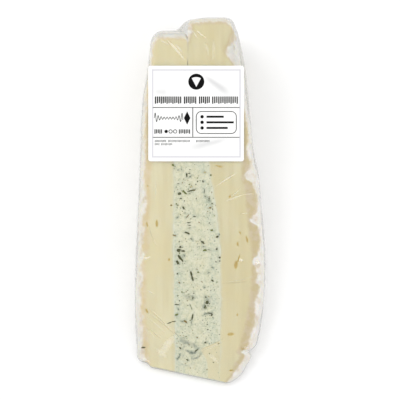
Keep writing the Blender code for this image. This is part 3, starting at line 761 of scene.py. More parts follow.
def herb_chip(bm, tones, herb, through, draw):
    """One chip: a flattened round, bent a little along its length, with an uneven outline."""
    x, from_tip, length, width, lean, tone = herb
    size = Matrix.Diagonal((length / 2 * MM, width / 2 * MM, CHIP_HALF * MM, 1.0))
    made = bmesh.ops.create_icosphere(bm, subdivisions=2, radius=1.0)["verts"]
    sway, seed = draw.uniform(-CHIP_SWAY, CHIP_SWAY), draw.uniform(0, 50)
    lift = float(cream_relief(np.array([x]), np.array([from_tip]))[0])
    place = face_frame(x, from_tip, lean, through, lift)
    for vertex in made:
        lumps = noise.noise(vertex.co * CHIP_LUMPS + Vector((seed, 0, 0)))
        flat = vertex.co * (CHIP_SIZE + CHIP_UNEVEN * lumps)
        flat.x = math.copysign(abs(flat.x) ** CHIP_BLUNT, flat.x)
        flat.y += sway * (flat.x ** 2 - 0.4)
        vertex.co = place @ (size @ flat)
        tones.append(tone_value(tone))


def speck_tree():
    """Specks of chopped herb scattered over the cream's two cut faces, thicker where they crowd."""
    tree = bpy.data.node_groups.new("herb specks", "GeometryNodeTree")
    face = tree.interface
    face.new_socket("Geometry", in_out="INPUT", socket_type="NodeSocketGeometry")
    for label, kind in (("Spacing", "NodeSocketFloat"), ("Speck size", "NodeSocketFloat"),
                        ("Seed", "NodeSocketInt"), ("Material", "NodeSocketMaterial")):
        face.new_socket(label, in_out="INPUT", socket_type=kind)
    face.new_socket("Geometry", in_out="OUTPUT", socket_type="NodeSocketGeometry")
    inputs = add(tree, "NodeGroupInput").outputs
    normal = add(tree, "GeometryNodeInputNormal").outputs[0]
    upright = add(tree, "ShaderNodeSeparateXYZ", {0: normal}).outputs["Z"]
    steep = add(tree, "ShaderNodeMath", {0: upright}, operation="ABSOLUTE").outputs[0]
    on_cut = add(tree, "FunctionNodeCompare", {0: steep, 1: 0.9}, operation="GREATER_THAN").outputs[0]
    crowd = add(tree, "GeometryNodeInputNamedAttribute", {"Name": "crowd"}, data_type="FLOAT").outputs[0]
    # At most 0.6 specks to the square millimetre
    spread = add(tree, "GeometryNodeDistributePointsOnFaces",
                 {"Mesh": inputs["Geometry"], "Selection": on_cut, "Distance Min": inputs["Spacing"],
                  "Density Max": 6e5, "Density Factor": crowd, "Seed": inputs["Seed"]},
                 distribute_method="POISSON")
    chip = add(tree, "GeometryNodeMeshIcoSphere",
               {"Radius": inputs["Speck size"], "Subdivisions": 1}).outputs[0]
    turned = add(tree, "FunctionNodeRandomValue", {2: 0.0, 3: math.tau, "Seed": 4},
                 data_type="FLOAT").outputs[1]
    turn = add(tree, "ShaderNodeCombineXYZ", {"Z": turned}).outputs[0]
    rotation = add(tree, "FunctionNodeRotateRotation",
                   {"Rotation": spread.outputs["Rotation"], "Rotate By": turn},
                   rotation_space="LOCAL").outputs[0]
    # Many small specks and a few long ones
    share = add(tree, "FunctionNodeRandomValue", {2: 0.25, 3: 1.0, "Seed": 9},
                data_type="FLOAT").outputs[1]
    power = add(tree, "ShaderNodeMath", {0: share, 1: 2.5}, operation="POWER").outputs[0]
    long = add(tree, "ShaderNodeMath", {0: power, 1: 1.3, 2: 0.4}, operation="MULTIPLY_ADD").outputs[0]
    wide = add(tree, "ShaderNodeMath", {0: power, 1: 0.5, 2: 0.35}, operation="MULTIPLY_ADD").outputs[0]
    scale = add(tree, "ShaderNodeCombineXYZ", {"X": long, "Y": wide, "Z": 0.35}).outputs[0]
    placed = add(tree, "GeometryNodeInstanceOnPoints",
                 {"Points": spread.outputs["Points"], "Instance": chip, "Rotation": rotation,
                  "Scale": scale}).outputs[0]
    real = add(tree, "GeometryNodeRealizeInstances", {0: placed}).outputs[0]
    coated = add(tree, "GeometryNodeSetMaterial",
                 {"Geometry": real, "Material": inputs["Material"]}).outputs[0]
    add(tree, "NodeGroupOutput", {0: coated})
    return tree


def grown(carrier, tree, values, name):
    """The mesh that a node tree grows on the carrier, as an object of its own."""
    modifier = carrier.modifiers.new(name, "NODES")
    modifier.node_group = tree
    for item in tree.interface.items_tree:
        if item.in_out == "INPUT" and item.name in values:
            modifier[item.identifier] = values[item.name]
    graph = bpy.context.evaluated_depsgraph_get()
    mesh = bpy.data.meshes.new_from_object(carrier.evaluated_get(graph))
    carrier.modifiers.remove(modifier)
    piece = bpy.data.objects.new(name, mesh)
    bpy.context.scene.collection.objects.link(piece)
    return piece


def new_piece(name, bm, material):
    """Smooth piece of the object from a finished mesh."""
    piece = bpy.data.objects.new(name, bpy.data.meshes.new(name))
    bpy.context.scene.collection.objects.link(piece)
    bmesh.ops.recalc_face_normals(bm, faces=bm.faces)
    bm.to_mesh(piece.data)
    bm.free()
    piece.data.shade_smooth()
    piece.data.materials.append(material)
    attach(piece, "root")
    return piece


herb_material = chopped_herb()
herb_draw = random.Random(HERB_SEED)
herb_mesh = bmesh.new()
herb_tones = []
for herb in HERBS:
    herb_chip(herb_mesh, herb_tones, herb, 1.0, herb_draw)
for _ in range(BACK_HERBS):
    at_tip = herb_draw.uniform(*BACK_HERB_SPAN)
    low_x = curve(LEFT_SEAM, at_tip) + BACK_HERB_MARGIN
    high_x = curve(RIGHT_SEAM, at_tip) - BACK_HERB_MARGIN
    chip = (float(herb_draw.uniform(low_x, high_x)), at_tip, herb_draw.uniform(*BACK_HERB_LENGTH),
            herb_draw.uniform(*BACK_HERB_WIDTH), herb_draw.uniform(0, 180),
            herb_draw.choice(BACK_HERB_TONES))
    herb_chip(herb_mesh, herb_tones, chip, 0.0, herb_draw)
herbs = new_piece("chopped_herbs", herb_mesh, herb_material)
set_values(herbs, "tone", herb_tones)

specks = grown(filling, speck_tree(), {"Spacing": SPECK_SPACING * MM, "Speck size": SPECK_SIZE * MM,
                                       "Seed": SPECK_SEED, "Material": herb_material}, "herb_specks")
specks.data.shade_smooth()
speck_draw = np.random.default_rng(SPECK_TONE_SEED)
speck_kinds = speck_draw.choice(SPECK_TONES, len(specks.data.vertices) // SPECK_CORNERS)
set_values(specks, "tone", np.repeat(tone_value(speck_kinds), SPECK_CORNERS))
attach(specks, "root")

# Stretch film. One sheet of clear film is drawn tight round the wedge, bridges the notch and
# the dent at the rim, and laps under the back face, where it clings to itself. Where it lies
# on the cheese it shows only by its gloss and its folds, which are painted highlights and
# painted shade lines; off it, it looks milky.

FILM_CUTS = (66, 200, 24)
FILM_WIDTH = 60.0
FILM_EDGE_RADIUS = 2.0
FILM_THICKNESS = 0.1
FILM_UNDER = 1.0
FILM_OVER = 0.45                   # it clings nearer to the shown face than its solid does
FILM_SWELL, FILM_SWELL_SIZE, FILM_SWELL_SEED = 0.12, 9.0, 5.0
FILM_SWELL_SHARE = 0.15            # share of the way through that the swell fades over
FILM_CORNERS = (7.0, 5.6)
FILM_RIM = ((-34, 176.3), (-14, 176.6), (-11, 177.3), (-7, 181.2), (-2, 182.5), (4, 183.1), (34, 183.1))
FILM_MILKY_FROM, FILM_MILKY_TO = 1.6, 5.0      # distance off the cheese over which it turns milky
LAP_X = -4.0
LAP_WANDER, LAP_WANDER_SIZE, LAP_WANDER_SEED = 0.3, 9.0, 2.0
LAP_STEP = 0.18
LAP_EDGE = 1.2
LAP_FADE = 8                       # power by which the lap's step fades on the way to the shown face
PLEAT_DEPTH, PLEAT_SIZE, PLEAT_SEED = 0.3, 3.0, 71.0
PLEAT_FADE = 12                    # power that keeps the pleats to the sides
# Folds drawn into the film over the shown face, as (x, distance from the tip) of both ends, sag to
# the side, width and brightness of painted light: a fold of positive brightness is a painted
# highlight, and one of negative brightness a painted shade line
FOLDS = (
    (-16.9, 171.9, -7.6, 161.2, 0.4, 1.7, 0.55), (-12.8, 169.6, -8.6, 165.0, 0.2, 1.1, 0.45),
    (-20.5, 172.0, -15.5, 169.0, 0.0, 1.2, 0.3), (-2.8, 177.6, 3.8, 172.0, -0.3, 1.1, 0.5),
    (-4.6, 177.2, -0.8, 171.0, 0.3, 0.8, 0.35), (2.0, 171.0, 4.5, 163.0, 0.4, 1.6, 0.25),
    (7.0, 172.5, 6.5, 160.5, 0.0, 2.2, 0.2), (-25.2, 170.7, -24.9, 159.5, 0.1, 0.8, 0.35),
    (7.6, 97.9, 18.6, 105.2, 0.2, 0.8, 0.55), (13.0, 91.1, 21.6, 94.4, -0.15, 0.8, 0.55),
    (21.0, 94.2, 28.2, 94.5, 0.1, 0.6, 0.35), (15.1, 92.6, 21.0, 97.6, 0.1, 0.5, 0.4),
    (19.8, 84.6, 25.5, 85.0, 0.0, 0.5, 0.4), (-27.9, 61.4, -24.5, 63.4, 0.2, 1.2, 0.6),
    (-31.0, 62.3, -25.0, 62.9, 0.0, 0.7, 0.5), (10.8, 49.9, 24.2, 50.9, -0.3, 0.6, -0.15),
    (11.0, 50.3, 27.8, 53.6, -0.6, 0.35, 0.3), (-27.0, 46.7, -22.6, 44.4, 0.0, 0.4, 0.45),
    (-26.6, 38.6, -13.4, 25.4, 0.5, 0.4, 0.4), (-26.8, 38.0, -13.8, 25.0, 0.5, 0.35, -0.35),
    (-26.1, 35.2, -11.6, 24.0, 0.7, 0.4, 0.4), (-26.3, 34.6, -11.9, 23.5, 0.7, 0.35, -0.35),
    (-27.3, 33.3, -15.4, 23.1, 0.5, 0.35, 0.35), (-27.3, 28.6, -18.3, 21.2, 0.4, 0.35, 0.35),
    (-27.1, 28.0, -18.5, 20.7, 0.4, 0.3, -0.3), (-27.1, 26.6, -21.6, 21.7, 0.2, 0.35, 0.3),
    (-13.6, 26.1, -10.5, 23.0, 0.1, 0.4, -0.5), (-11.5, 24.4, -20.5, 12.6, -0.6, 4.6, 0.42),
    (-23.0, 17.6, -16.0, 12.0, 0.3, 2.4, 0.25), (-1.0, 16.4, 11.6, 22.3, -0.4, 1.2, -0.12),
    (0.9, 16.1, 11.6, 20.9, -0.3, 0.6, 0.35), (3.5, 15.0, 9.5, 9.5, 0.3, 2.6, 0.25),
    (20.7, 17.6, 26.3, 16.9, 0.7, 0.6, 0.6), (21.8, 16.2, 25.8, 15.5, -0.3, 0.5, 0.6),
    (21.2, 17.0, 25.0, 16.2, 0.0, 0.5, -0.35), (-28.3, 12.6, -24.5, 9.8, 0.0, 1.2, 0.35),
    (-22.3, 102.0, -22.6, 92.0, 0.4, 0.35, 0.25), (-23.9, 73.0, -20.9, 68.3, -0.3, 0.4, 0.3),
    (-25.6, 79.0, -21.9, 70.0, -0.6, 0.35, -0.25), (-9.0, 62.6, 5.0, 62.4, 0.2, 0.3, 0.25),
    (22.0, 61.3, 19.2, 61.7, 0.0, 1.6, 0.7), (29.8, 60.4, 27.6, 60.2, 0.2, 1.8, 0.8))
FOLD_HEIGHT = 0.22
FOLD_STEP = 0.9
FOLD_SHARE = 0.6                   # painted highlight haze of a fold of brightness 1
FOLD_WANDER, FOLD_WANDER_SIZE = 0.12, 3.0
# Points round a fold, as shares of its half width: seven over the top and five back under it
FOLD_TOP = 7
FOLD_ROUND = (-1.0, -0.7, -0.35, 0.0, 0.35, 0.7, 1.0, 0.7, 0.35, 0.0, -0.35, -0.7)
FOLD_LIFT, FOLD_UNDER = 0.02, 0.01


def film_rim(x):
    left, right = FILM_CORNERS
    outer = corner(x - film_left(LEFT_RIM, 0.5), left)
    return curve(FILM_RIM, x) - outer - corner(film_right(RIGHT_RIM, 0.5) - x, right)


def film_relief(x, from_tip):
    """Height of the film over the flat of the shown face."""
    return FILM_OVER + FILM_SWELL * humps(x, from_tip, FILM_SWELL_SEED, FILM_SWELL_SIZE)


def milky(tree, clarity, share, tone):
    """Film that lets light of the colour clarity through, and of which a share is a haze."""
    clear = add(tree, "ShaderNodeBsdfTransparent", {"Color": clarity}).outputs[0]
    haze = add(tree, "ShaderNodeBsdfDiffuse", {"Color": tone}).outputs[0]
    return add(tree, "ShaderNodeMixShader", {0: share, 1: clear, 2: haze}).outputs[0]


def stretch_film():
    """Clear stretch film: glossy, all but unseen where it clings, milky where it hangs free."""
    material, tree, place = new_material("clear stretch film")
    free = add(tree, "ShaderNodeAttribute", attribute_name="free").outputs["Fac"]
    # Fine drawn creases about 3 mm apart across the pull, with a slow waviness of 12 mm
    drawn = add(tree, "ShaderNodeMapping", {
        "Vector": place, "Rotation": (0.0, 0.0, 0.5), "Scale": (1.0, 0.22, 1.0)}).outputs[0]
    crease = add(tree, "ShaderNodeTexNoise", {
        "Vector": drawn, "Scale": 1 / (3 * MM), "Detail": 2.0}).outputs["Fac"]
    slow = add(tree, "ShaderNodeTexNoise", {
        "Vector": place, "Scale": 1 / (12 * MM), "Detail": 1.0}).outputs["Fac"]
    relief = add(tree, "ShaderNodeMath", {0: slow, 1: 3.0, 2: crease}, operation="MULTIPLY_ADD").outputs[0]
    bump = add(tree, "ShaderNodeBump", {
        "Height": relief, "Strength": 0.35, "Distance": 0.4 * MM}).outputs[0]
    # Seen edge on, the thin wall is hazier and glossier
    facing = add(tree, "ShaderNodeLayerWeight", {"Blend": 0.5, "Normal": bump}).outputs["Facing"]
    turned = add(tree, "ShaderNodeMath", {0: facing, 1: 5.0}, operation="POWER").outputs[0]
    haze = add(tree, "ShaderNodeMapRange", {0: free, 3: 0.006, 4: 0.12}).outputs[0]
    haze = add(tree, "ShaderNodeMath", {0: turned, 1: 0.5, 2: haze}, operation="MULTIPLY_ADD").outputs[0]
    clarity = add(tree, "ShaderNodeMix", {0: free, 6: linear("#FCFCFC"), 7: linear("#FAFAF9")},
                  data_type="RGBA").outputs[2]
    body = milky(tree, clarity, haze, linear("#EBECEA"))
    gloss = add(tree, "ShaderNodeBsdfGlossy", {"Roughness": 0.13, "Normal": bump}).outputs[0]
    shine = add(tree, "ShaderNodeMath", {0: turned, 1: 0.17, 2: 0.015}, operation="MULTIPLY_ADD").outputs[0]
    shader = add(tree, "ShaderNodeMixShader", {0: shine, 1: body, 2: gloss}).outputs[0]
    add(tree, "ShaderNodeOutputMaterial", {"Surface": shader})
    return material


def folded_film():
    """The same film gathered into folds: a painted highlight, whiter in the middle of a fold, or painted
    shade in a crease.
    """
    material, tree, place = new_material("folded stretch film with painted highlights")
    painted_light = add(tree, "ShaderNodeAttribute", attribute_name="painted_light").outputs["Fac"]
    # The gathers break up every 2 mm along a fold
    gather = add(tree, "ShaderNodeTexNoise", {
        "Vector": place, "Scale": 1 / (2 * MM), "Detail": 2.0}).outputs["Fac"]
    broken = add(tree, "ShaderNodeMapRange", {0: gather, 1: 0.3, 2: 0.6, 3: 0.75, 4: 1.0}).outputs[0]
    strength = add(tree, "ShaderNodeMath", {0: painted_light}, operation="ABSOLUTE").outputs[0]
    share = add(tree, "ShaderNodeMath", {0: strength, 1: broken}, operation="MULTIPLY").outputs[0]
    highlighted = add(tree, "ShaderNodeMath", {0: painted_light, 1: 0.0}, operation="GREATER_THAN").outputs[0]
    # A raised fold takes a painted highlight of near white, a crease a painted shade of grey brown
    tone = add(tree, "ShaderNodeMix", {0: highlighted, 6: linear("#B5A67A"), 7: linear("#FFFCF0")},
               data_type="RGBA").outputs[2]
    body = milky(tree, linear("#FFFFFF"), share, tone)
    add(tree, "ShaderNodeOutputMaterial", {"Surface": body})
    return material


def fold_ridge(bm, painted_lights, fold):
    """One gathered fold: a low ridge that tapers to both ends."""
    x0, tip0, x1, tip1, sag, width, brightness = fold
    run = math.hypot(x1 - x0, tip1 - tip0)
    count = max(8, round(run / FOLD_STEP))
    side = np.array([tip0 - tip1, x1 - x0]) / run
    across = np.array(FOLD_ROUND)
    on_top = np.arange(len(across)) < FOLD_TOP
    rings = []
    for k in range(count + 1):
        share = k / count
        taper = max(math.sin(math.pi * share), 0.0) ** 0.6 + 0.02
        middle = (x0 + (x1 - x0) * share, tip0 + (tip1 - tip0) * share)
        wander = FOLD_WANDER * noise.noise(Vector((*middle, 0.0)) / FOLD_WANDER_SIZE)
        bow = sag * 4.0 * share * (1.0 - share) + wander
        x = middle[0] + side[0] * (bow + across * width / 2 * taper)
        from_tip = middle[1] + side[1] * (bow + across * width / 2 * taper)
        soft = (1.0 - across ** 2) * taper
        crest = FOLD_HEIGHT * min(width, 1.0) * soft + FOLD_LIFT
        lift = film_relief(x, from_tip) + np.where(on_top, crest, FOLD_UNDER)
        points = wedge_points(x, from_tip, np.ones(len(x)), lift)
        rings.append([bm.verts.new(p) for p in points])
        painted_lights.extend(brightness * soft * FOLD_SHARE)
    for near, far in zip(rings, rings[1:]):
        for k in range(len(across)):
            n = (k + 1) % len(across)
            bm.faces.new((near[k], near[n], far[n], far[k]))
    bm.faces.new(rings[0])
    bm.faces.new(rings[-1])


film, film_shares = block("film_dressed", FILM_CUTS, FILM_EDGE_RADIUS, FILM_WIDTH)
film_x, film_tip = settle(film_shares, film_left, film_right, tip_slant, film_rim)
film_through = film_shares[2]
film_top = film_relief(film_x, film_tip) - FILM_OVER
film_top = film_top * ease((film_through - (1.0 - FILM_SWELL_SHARE)) / FILM_SWELL_SHARE)
film_lift = -FILM_UNDER + (FILM_UNDER + FILM_OVER) * film_through + film_top
lap_line = LAP_X + LAP_WANDER * humps(film_tip, 0.0, LAP_WANDER_SEED, LAP_WANDER_SIZE)
film_lift = film_lift + (1.0 - film_through) ** LAP_FADE * LAP_STEP * ease((film_x - lap_line) / LAP_EDGE)
on_side = (np.abs(2.0 * film_shares[0] - 1.0) ** PLEAT_FADE
           * (1.0 - np.abs(2.0 * film_through - 1.0)))
pleats = PLEAT_DEPTH * on_side * np.abs(humps(film_tip, film_through * 3.0, PLEAT_SEED, PLEAT_SIZE))
film_places = wedge_points(film_x - np.sign(film_shares[0] - 0.5) * pleats, film_tip, film_through,
                           film_lift)
set_places(film, film_places)
cheese_trees = []
for piece in (brie_left, brie_right, filling):
    cheese = bmesh.new()
    cheese.from_mesh(piece.data)
    cheese_trees.append(BVHTree.FromBMesh(cheese))
    cheese.free()
film_gap = np.array([min(tree.find_nearest(Vector(p))[3] for tree in cheese_trees)
                     for p in film_places]) / MM
set_values(film, "free", np.clip((film_gap - FILM_MILKY_FROM) / (FILM_MILKY_TO - FILM_MILKY_FROM), 0, 1))
film_wall = film.modifiers.new("wall", "SOLIDIFY")
film_wall.thickness = FILM_THICKNESS * MM
film_wall.offset = -1.0
film.data.materials.append(stretch_film())
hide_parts("film_wrap")
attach(film, "root")

fold_mesh = bmesh.new()
fold_painted_lights = []
for fold in FOLDS:
    fold_ridge(fold_mesh, fold_painted_lights, fold)
folds = new_piece("film_folds", fold_mesh, folded_film())
set_values(folds, "painted_light", fold_painted_lights)
folds.visible_shadow = False         # thin film takes next to no light from what lies under it

# Label. A square of coated white paper with rounded corners is stuck on the film over the cut
# face. It is printed in black and grey with plain shapes in ruled fields, and soft creases
# run across it where the film under it has pulled, with painted shade on their lower right.

LABEL_SIZE = 47.8
LABEL_CORNER = 1.2
LABEL_THICKNESS = 0.14
LABEL_EDGE_RADIUS = 0.02
LABEL_LIFT = 0.8
LABEL_CUTS = (96, 96, 2)
# Creases as (x, y) of both ends from the label's middle, height and width
LABEL_CREASES = ((3.6, 18.9, 19.5, 7.6, 0.5, 1.5), (18.9, -13.2, -5.4, -18.8, 0.4, 1.4),
                 (-21.0, 10.2, -12.0, 9.6, 0.3, 1.6), (-1.5, -5.5, 4.0, -2.0, 0.15, 1.4))
SHADE_SHIFT, SHADE_SHARE, SHADE_MOST = 0.9, 1.1, 0.6    # each crease has painted shade, greyer on its lower right
INK_THICKNESS = 0.03
BORDER = (-22.05, -22.0, 22.3, 22.1)
BORDER_WIDTH = 0.7
RULE_X = (-21.7, 21.8)
RULES_Y = (3.0, -11.9)
RULE_WIDTH = 0.4
DIVIDER_X = -1.65
DIVIDER_WIDTH = 0.44
# Places of the print from the label's middle. A row of strokes is given by its two ends
EMBLEM, EMBLEM_RADIUS = (0.1, 15.9), 4.0
SLICE_RADIUS, SLICE_DROP = 4.9, 2.6
SLICE_TURNS = range(62, 119, 8)
WORDS = ((-20.6, -7.4), (-6.1, 0.1), (1.45, 6.85), (8.0, 20.85))
WORD_LOW, WORD_HIGH, WORD_PITCH, WORD_STROKE = 4.9, 8.5, 0.98, 0.62
SCALE_WORDS = ((-20.8, -17.0), (-8.6, -3.0))
SCALE_LOW, SCALE_HIGH, SCALE_PITCH, SCALE_STROKE = -10.1, -7.9, 0.85, 0.52
SCALE_DOTS, SCALE_Y, SCALE_DOT = (-14.95, -12.75, -10.45), -8.95, 0.85
SMALL_WORDS = ((-20.6, -15.0, -14.3), (-14.0, -3.2, -14.3), (0.1, 6.6, -14.3),
               (-20.6, -18.4, -15.9), (-17.4, -12.0, -15.9))
SMALL_HEIGHT, SMALL_PITCH, SMALL_STROKE = 1.1, 0.62, 0.3
STROKE_TRIM = 0.12
SWING_STEPS, SWING_LEFT, SWING_LENGTH, SWING_Y, SWING_TURNS = 90, -20.8, 14.2, -2.3, 60.0
SWING_LEAST, SWING_MORE, SWING_LINE = 0.6, 2.6, 0.3
LOZENGE = ((-6.1, -2.25), (-4.47, -5.6), (-2.85, -2.25), (-4.47, 1.1))
FRAME, FRAME_CORNER, FRAME_LINE = (0.1, -10.0, 20.1, 1.0), 2.5, 0.36
ROWS, ROWS_TOP, ROW_PITCH = (8.6, 13.6, 10.6), -1.6, 2.8
BULLET_X, ROW_X, ROW_HEIGHT = 3.0, 5.2, 1.0


def crease_height(x, y):
    height = np.zeros(len(x))
    for x0, y0, x1, y1, top, width in LABEL_CREASES:
        run = math.hypot(x1 - x0, y1 - y0)
        along = ((x - x0) * (x1 - x0) + (y - y0) * (y1 - y0)) / run ** 2
        across = ((x - x0) * (y1 - y0) - (y - y0) * (x1 - x0)) / run / (0.5 + np.clip(along, 0.0, 1.0))
        height += top * ease(along * 3.0) * ease((1.0 - along) * 2.5) * np.exp(-(across / width) ** 2)
    return height


def label_points(x, y, lift):
    """Places over the label, x and y from its centre, with its creases."""
    x, y = np.asarray(x, float), np.asarray(y, float)
    lift = LABEL_LIFT + lift + crease_height(x, y)
    return wedge_points(LABEL_CENTRE[0] + x, LABEL_CENTRE[1] + y, np.ones(len(x)), lift)


def label_paper():
    """Coated white label paper: smooth, with a faint fibre grain of 0.4 mm and painted shade on its creases.
    """
    material, tree, place = new_material("coated label paper")
    crease = add(tree, "ShaderNodeAttribute", attribute_name="crease").outputs["Fac"]
    fibre = add(tree, "ShaderNodeTexNoise", {
        "Vector": place, "Scale": 1 / (0.4 * MM), "Detail": 2.0}).outputs["Fac"]
    colour = linear("#FAFAF9")
    # The grey mixed in by the crease value is painted shade
    for share, tone in ((fibre, "#FFFFFE"), (crease, "#BEBEC0")):
        colour = add(tree, "ShaderNodeMix", {0: share, 6: colour, 7: linear(tone)},
                     data_type="RGBA").outputs[2]
    bump = add(tree, "ShaderNodeBump", {
        "Height": fibre, "Strength": 0.1, "Distance": 0.05 * MM}).outputs[0]
    shader = add(tree, "ShaderNodeBsdfPrincipled", {"Base Color": colour, "Roughness": 0.5, "Normal": bump})
    add(tree, "ShaderNodeOutputMaterial", {"Surface": shader.outputs[0]})
    return material


def printing_ink(name, hex_colour):
    """Offset print on coated paper: matt, a little uneven where the ink is thin."""
    material, tree, place = new_material(name)
    thin = add(tree, "ShaderNodeTexNoise", {
        "Vector": place, "Scale": 1 / (0.3 * MM), "Detail": 1.0}).outputs["Fac"]
    thins = add(tree, "ShaderNodeMapRange", {0: thin, 1: 0.4, 2: 0.8, 3: 0.0, 4: 0.015}).outputs[0]
    colour = add(tree, "ShaderNodeMix", {0: thins, 6: linear(hex_colour), 7: linear("#B8B8B8")},
                 data_type="RGBA").outputs[2]
    shader = add(tree, "ShaderNodeBsdfPrincipled",
                 {"Base Color": colour, "Roughness": 0.6, "Specular IOR Level": 0.06})
    add(tree, "ShaderNodeOutputMaterial", {"Surface": shader.outputs[0]})
    return material


def printed(name, material, shapes, layer=1):
    """Thin closed shapes of ink on the label; a shape is a loop of (x, y) points from its centre."""
    bm = bmesh.new()
    top = LABEL_THICKNESS + layer * INK_THICKNESS
    for loop in shapes:
        rings = []
        for lift in (top - INK_THICKNESS - 0.01, top):
            rings.append([bm.verts.new(p) for p in label_points(*zip(*loop), lift)])
            bm.faces.new(rings[-1])
        for k in range(len(loop)):
            n = (k + 1) % len(loop)
            bm.faces.new((rings[0][k], rings[0][n], rings[1][n], rings[1][k]))
    bmesh.ops.triangulate(bm, faces=[f for f in bm.faces if len(f.verts) > 4])
    piece = new_piece(name, bm, material)
    piece.data.shade_flat()


def bar(x, y, width, height):
    """A bar of ink in lengths of about 1 mm, so that it follows the creases."""
    count = max(1, round(max(width, height)))
    shapes = []
    for k in range(count):
        if width > height:
            x0, x1, y0, y1 = x + k * width / count, x + (k + 1) * width / count, y, y + height
        else:
            x0, x1, y0, y1 = x, x + width, y + k * height / count, y + (k + 1) * height / count
        shapes.append([(x0, y0), (x1, y0), (x1, y1), (x0, y1)])
    return shapes


def oval(x, y, wide, high, sides=28):
    turns = [math.tau * k / sides for k in range(sides)]
    return [(x + wide * math.cos(t), y + high * math.sin(t)) for t in turns]


def line_along(points, width, closed=True):
    """A line of ink along the points, as quads."""
    quads = []
    count = len(points)
    for k in range(count if closed else count - 1):
        (x0, y0), (x1, y1) = points[k], points[(k + 1) % count]
        run = math.hypot(x1 - x0, y1 - y0)
        nx, ny = -(y1 - y0) / run * width / 2, (x1 - x0) / run * width / 2
        steps = max(1, round(run))
        stations = [(x0 + (x1 - x0) * s / steps, y0 + (y1 - y0) * s / steps) for s in range(steps + 1)]
        for (ax, ay), (bx, by) in zip(stations, stations[1:]):
            quads.append([(ax + nx, ay + ny), (ax - nx, ay - ny), (bx - nx, by - ny), (bx + nx, by + ny)])
    return quads


def round_frame(left, low, right, high, radius, steps=6):
    """Points round a rectangle with round corners."""
    points = []
    for x, y, start in ((right - radius, high - radius, 0), (left + radius, high - radius, 90),
                        (left + radius, low + radius, 180), (right - radius, low + radius, 270)):
        for k in range(steps + 1):
            turn = math.radians(start + 90 * k / steps)
            points.append((x + radius * math.cos(turn), y + radius * math.sin(turn)))
    return points


def dashes(left, right, low, high, pitch, stroke_width):
    """A row of short upright strokes of ink, uneven in height."""
    count = round((right - left + pitch - stroke_width) / pitch)
    shapes = []
    for k in range(count):
        x = left + k * (right - left - stroke_width) / max(count - 1, 1)
        trim = (high - low) * STROKE_TRIM * ((k * 7) % 3) / 2
        shapes.append([(x, low + trim), (x + stroke_width, low + trim), (x + stroke_width, high), (x, high)])
    return shapes


label, label_shares = block("label_dressed", LABEL_CUTS, LABEL_EDGE_RADIUS, LABEL_SIZE)
label_x = (label_shares[0] - 0.5) * LABEL_SIZE
label_y = (label_shares[1] - 0.5) * LABEL_SIZE
straight = LABEL_SIZE / 2 - LABEL_CORNER
corner_x = np.maximum(np.abs(label_x) - straight, 0.0)
corner_y = np.maximum(np.abs(label_y) - straight, 0.0)
in_corner = (corner_x > 0.0) & (corner_y > 0.0)
squeeze = np.maximum(corner_x, corner_y) / np.maximum(np.hypot(corner_x, corner_y), 1e-9)
label_x = np.where(in_corner, np.sign(label_x) * (straight + corner_x * squeeze), label_x)
label_y = np.where(in_corner, np.sign(label_y) * (straight + corner_y * squeeze), label_y)
set_places(label, label_points(label_x, label_y, label_shares[2] * LABEL_THICKNESS))
crease_shade = crease_height(label_x + SHADE_SHIFT, label_y - SHADE_SHIFT) * SHADE_SHARE
set_values(label, "crease", np.clip(crease_shade, 0.0, SHADE_MOST))
label.data.materials.append(label_paper())
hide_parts("label")
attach(label, "root")

# A wedge in a disc, three rows of bullets in a frame and a scale of three dots fill the fields
black_shapes = [oval(*EMBLEM, EMBLEM_RADIUS, EMBLEM_RADIUS, 40)]
for word_left, word_right in WORDS:
    black_shapes += dashes(word_left, word_right, WORD_LOW, WORD_HIGH, WORD_PITCH, WORD_STROKE)
swings = []
for k in range(SWING_STEPS + 1):
    share = k / SWING_STEPS
    swell = SWING_LEAST + SWING_MORE * (2.0 * share - 1.0) ** 4
    swings.append((SWING_LEFT + SWING_LENGTH * share, SWING_Y + swell * math.sin(share * SWING_TURNS)))
black_shapes += line_along(swings, SWING_LINE, closed=False)
black_shapes += [list(LOZENGE)]
for word_left, word_right in SCALE_WORDS:
    black_shapes += dashes(word_left, word_right, SCALE_LOW, SCALE_HIGH, SCALE_PITCH, SCALE_STROKE)
black_shapes += [oval(SCALE_DOTS[0], SCALE_Y, SCALE_DOT, SCALE_DOT, 20)]
for dot_x in SCALE_DOTS[1:]:
    black_shapes += line_along(oval(dot_x, SCALE_Y, SCALE_DOT, SCALE_DOT, 20), FRAME_LINE)
black_shapes += line_along(round_frame(*FRAME, FRAME_CORNER), FRAME_LINE)
for row, length in enumerate(ROWS):
    row_y = ROWS_TOP - ROW_PITCH * row
    black_shapes += [oval(BULLET_X, row_y, SCALE_DOT, SCALE_DOT, 18)]
    black_shapes += bar(ROW_X, row_y - ROW_HEIGHT / 2, length, ROW_HEIGHT)
printed("label_print_black", printing_ink("black label ink", "#0C0C0C"), black_shapes)

slice_x, slice_y = EMBLEM[0], EMBLEM[1] - SLICE_DROP
slice_points = [(slice_x, slice_y)]
slice_points += [(slice_x + SLICE_RADIUS * math.cos(math.radians(t)),
                  slice_y + SLICE_RADIUS * math.sin(math.radians(t))) for t in SLICE_TURNS]
printed("label_print_white", printing_ink("white label ink", "#F4F4F4"), [slice_points], layer=2)

grey_shapes = []
for rule_y in RULES_Y:
    grey_shapes += bar(RULE_X[0], rule_y - RULE_WIDTH / 2, RULE_X[1] - RULE_X[0], RULE_WIDTH)
grey_shapes += bar(DIVIDER_X - DIVIDER_WIDTH / 2, RULES_Y[1] + RULE_WIDTH / 2, DIVIDER_WIDTH,
                   RULES_Y[0] - RULES_Y[1] - RULE_WIDTH)
for word_left, word_right, word_low in SMALL_WORDS:
    grey_shapes += dashes(word_left, word_right, word_low, word_low + SMALL_HEIGHT, SMALL_PITCH,
                          SMALL_STROKE)
printed("label_print_grey", printing_ink("grey label ink", "#5A5A5A"), grey_shapes)

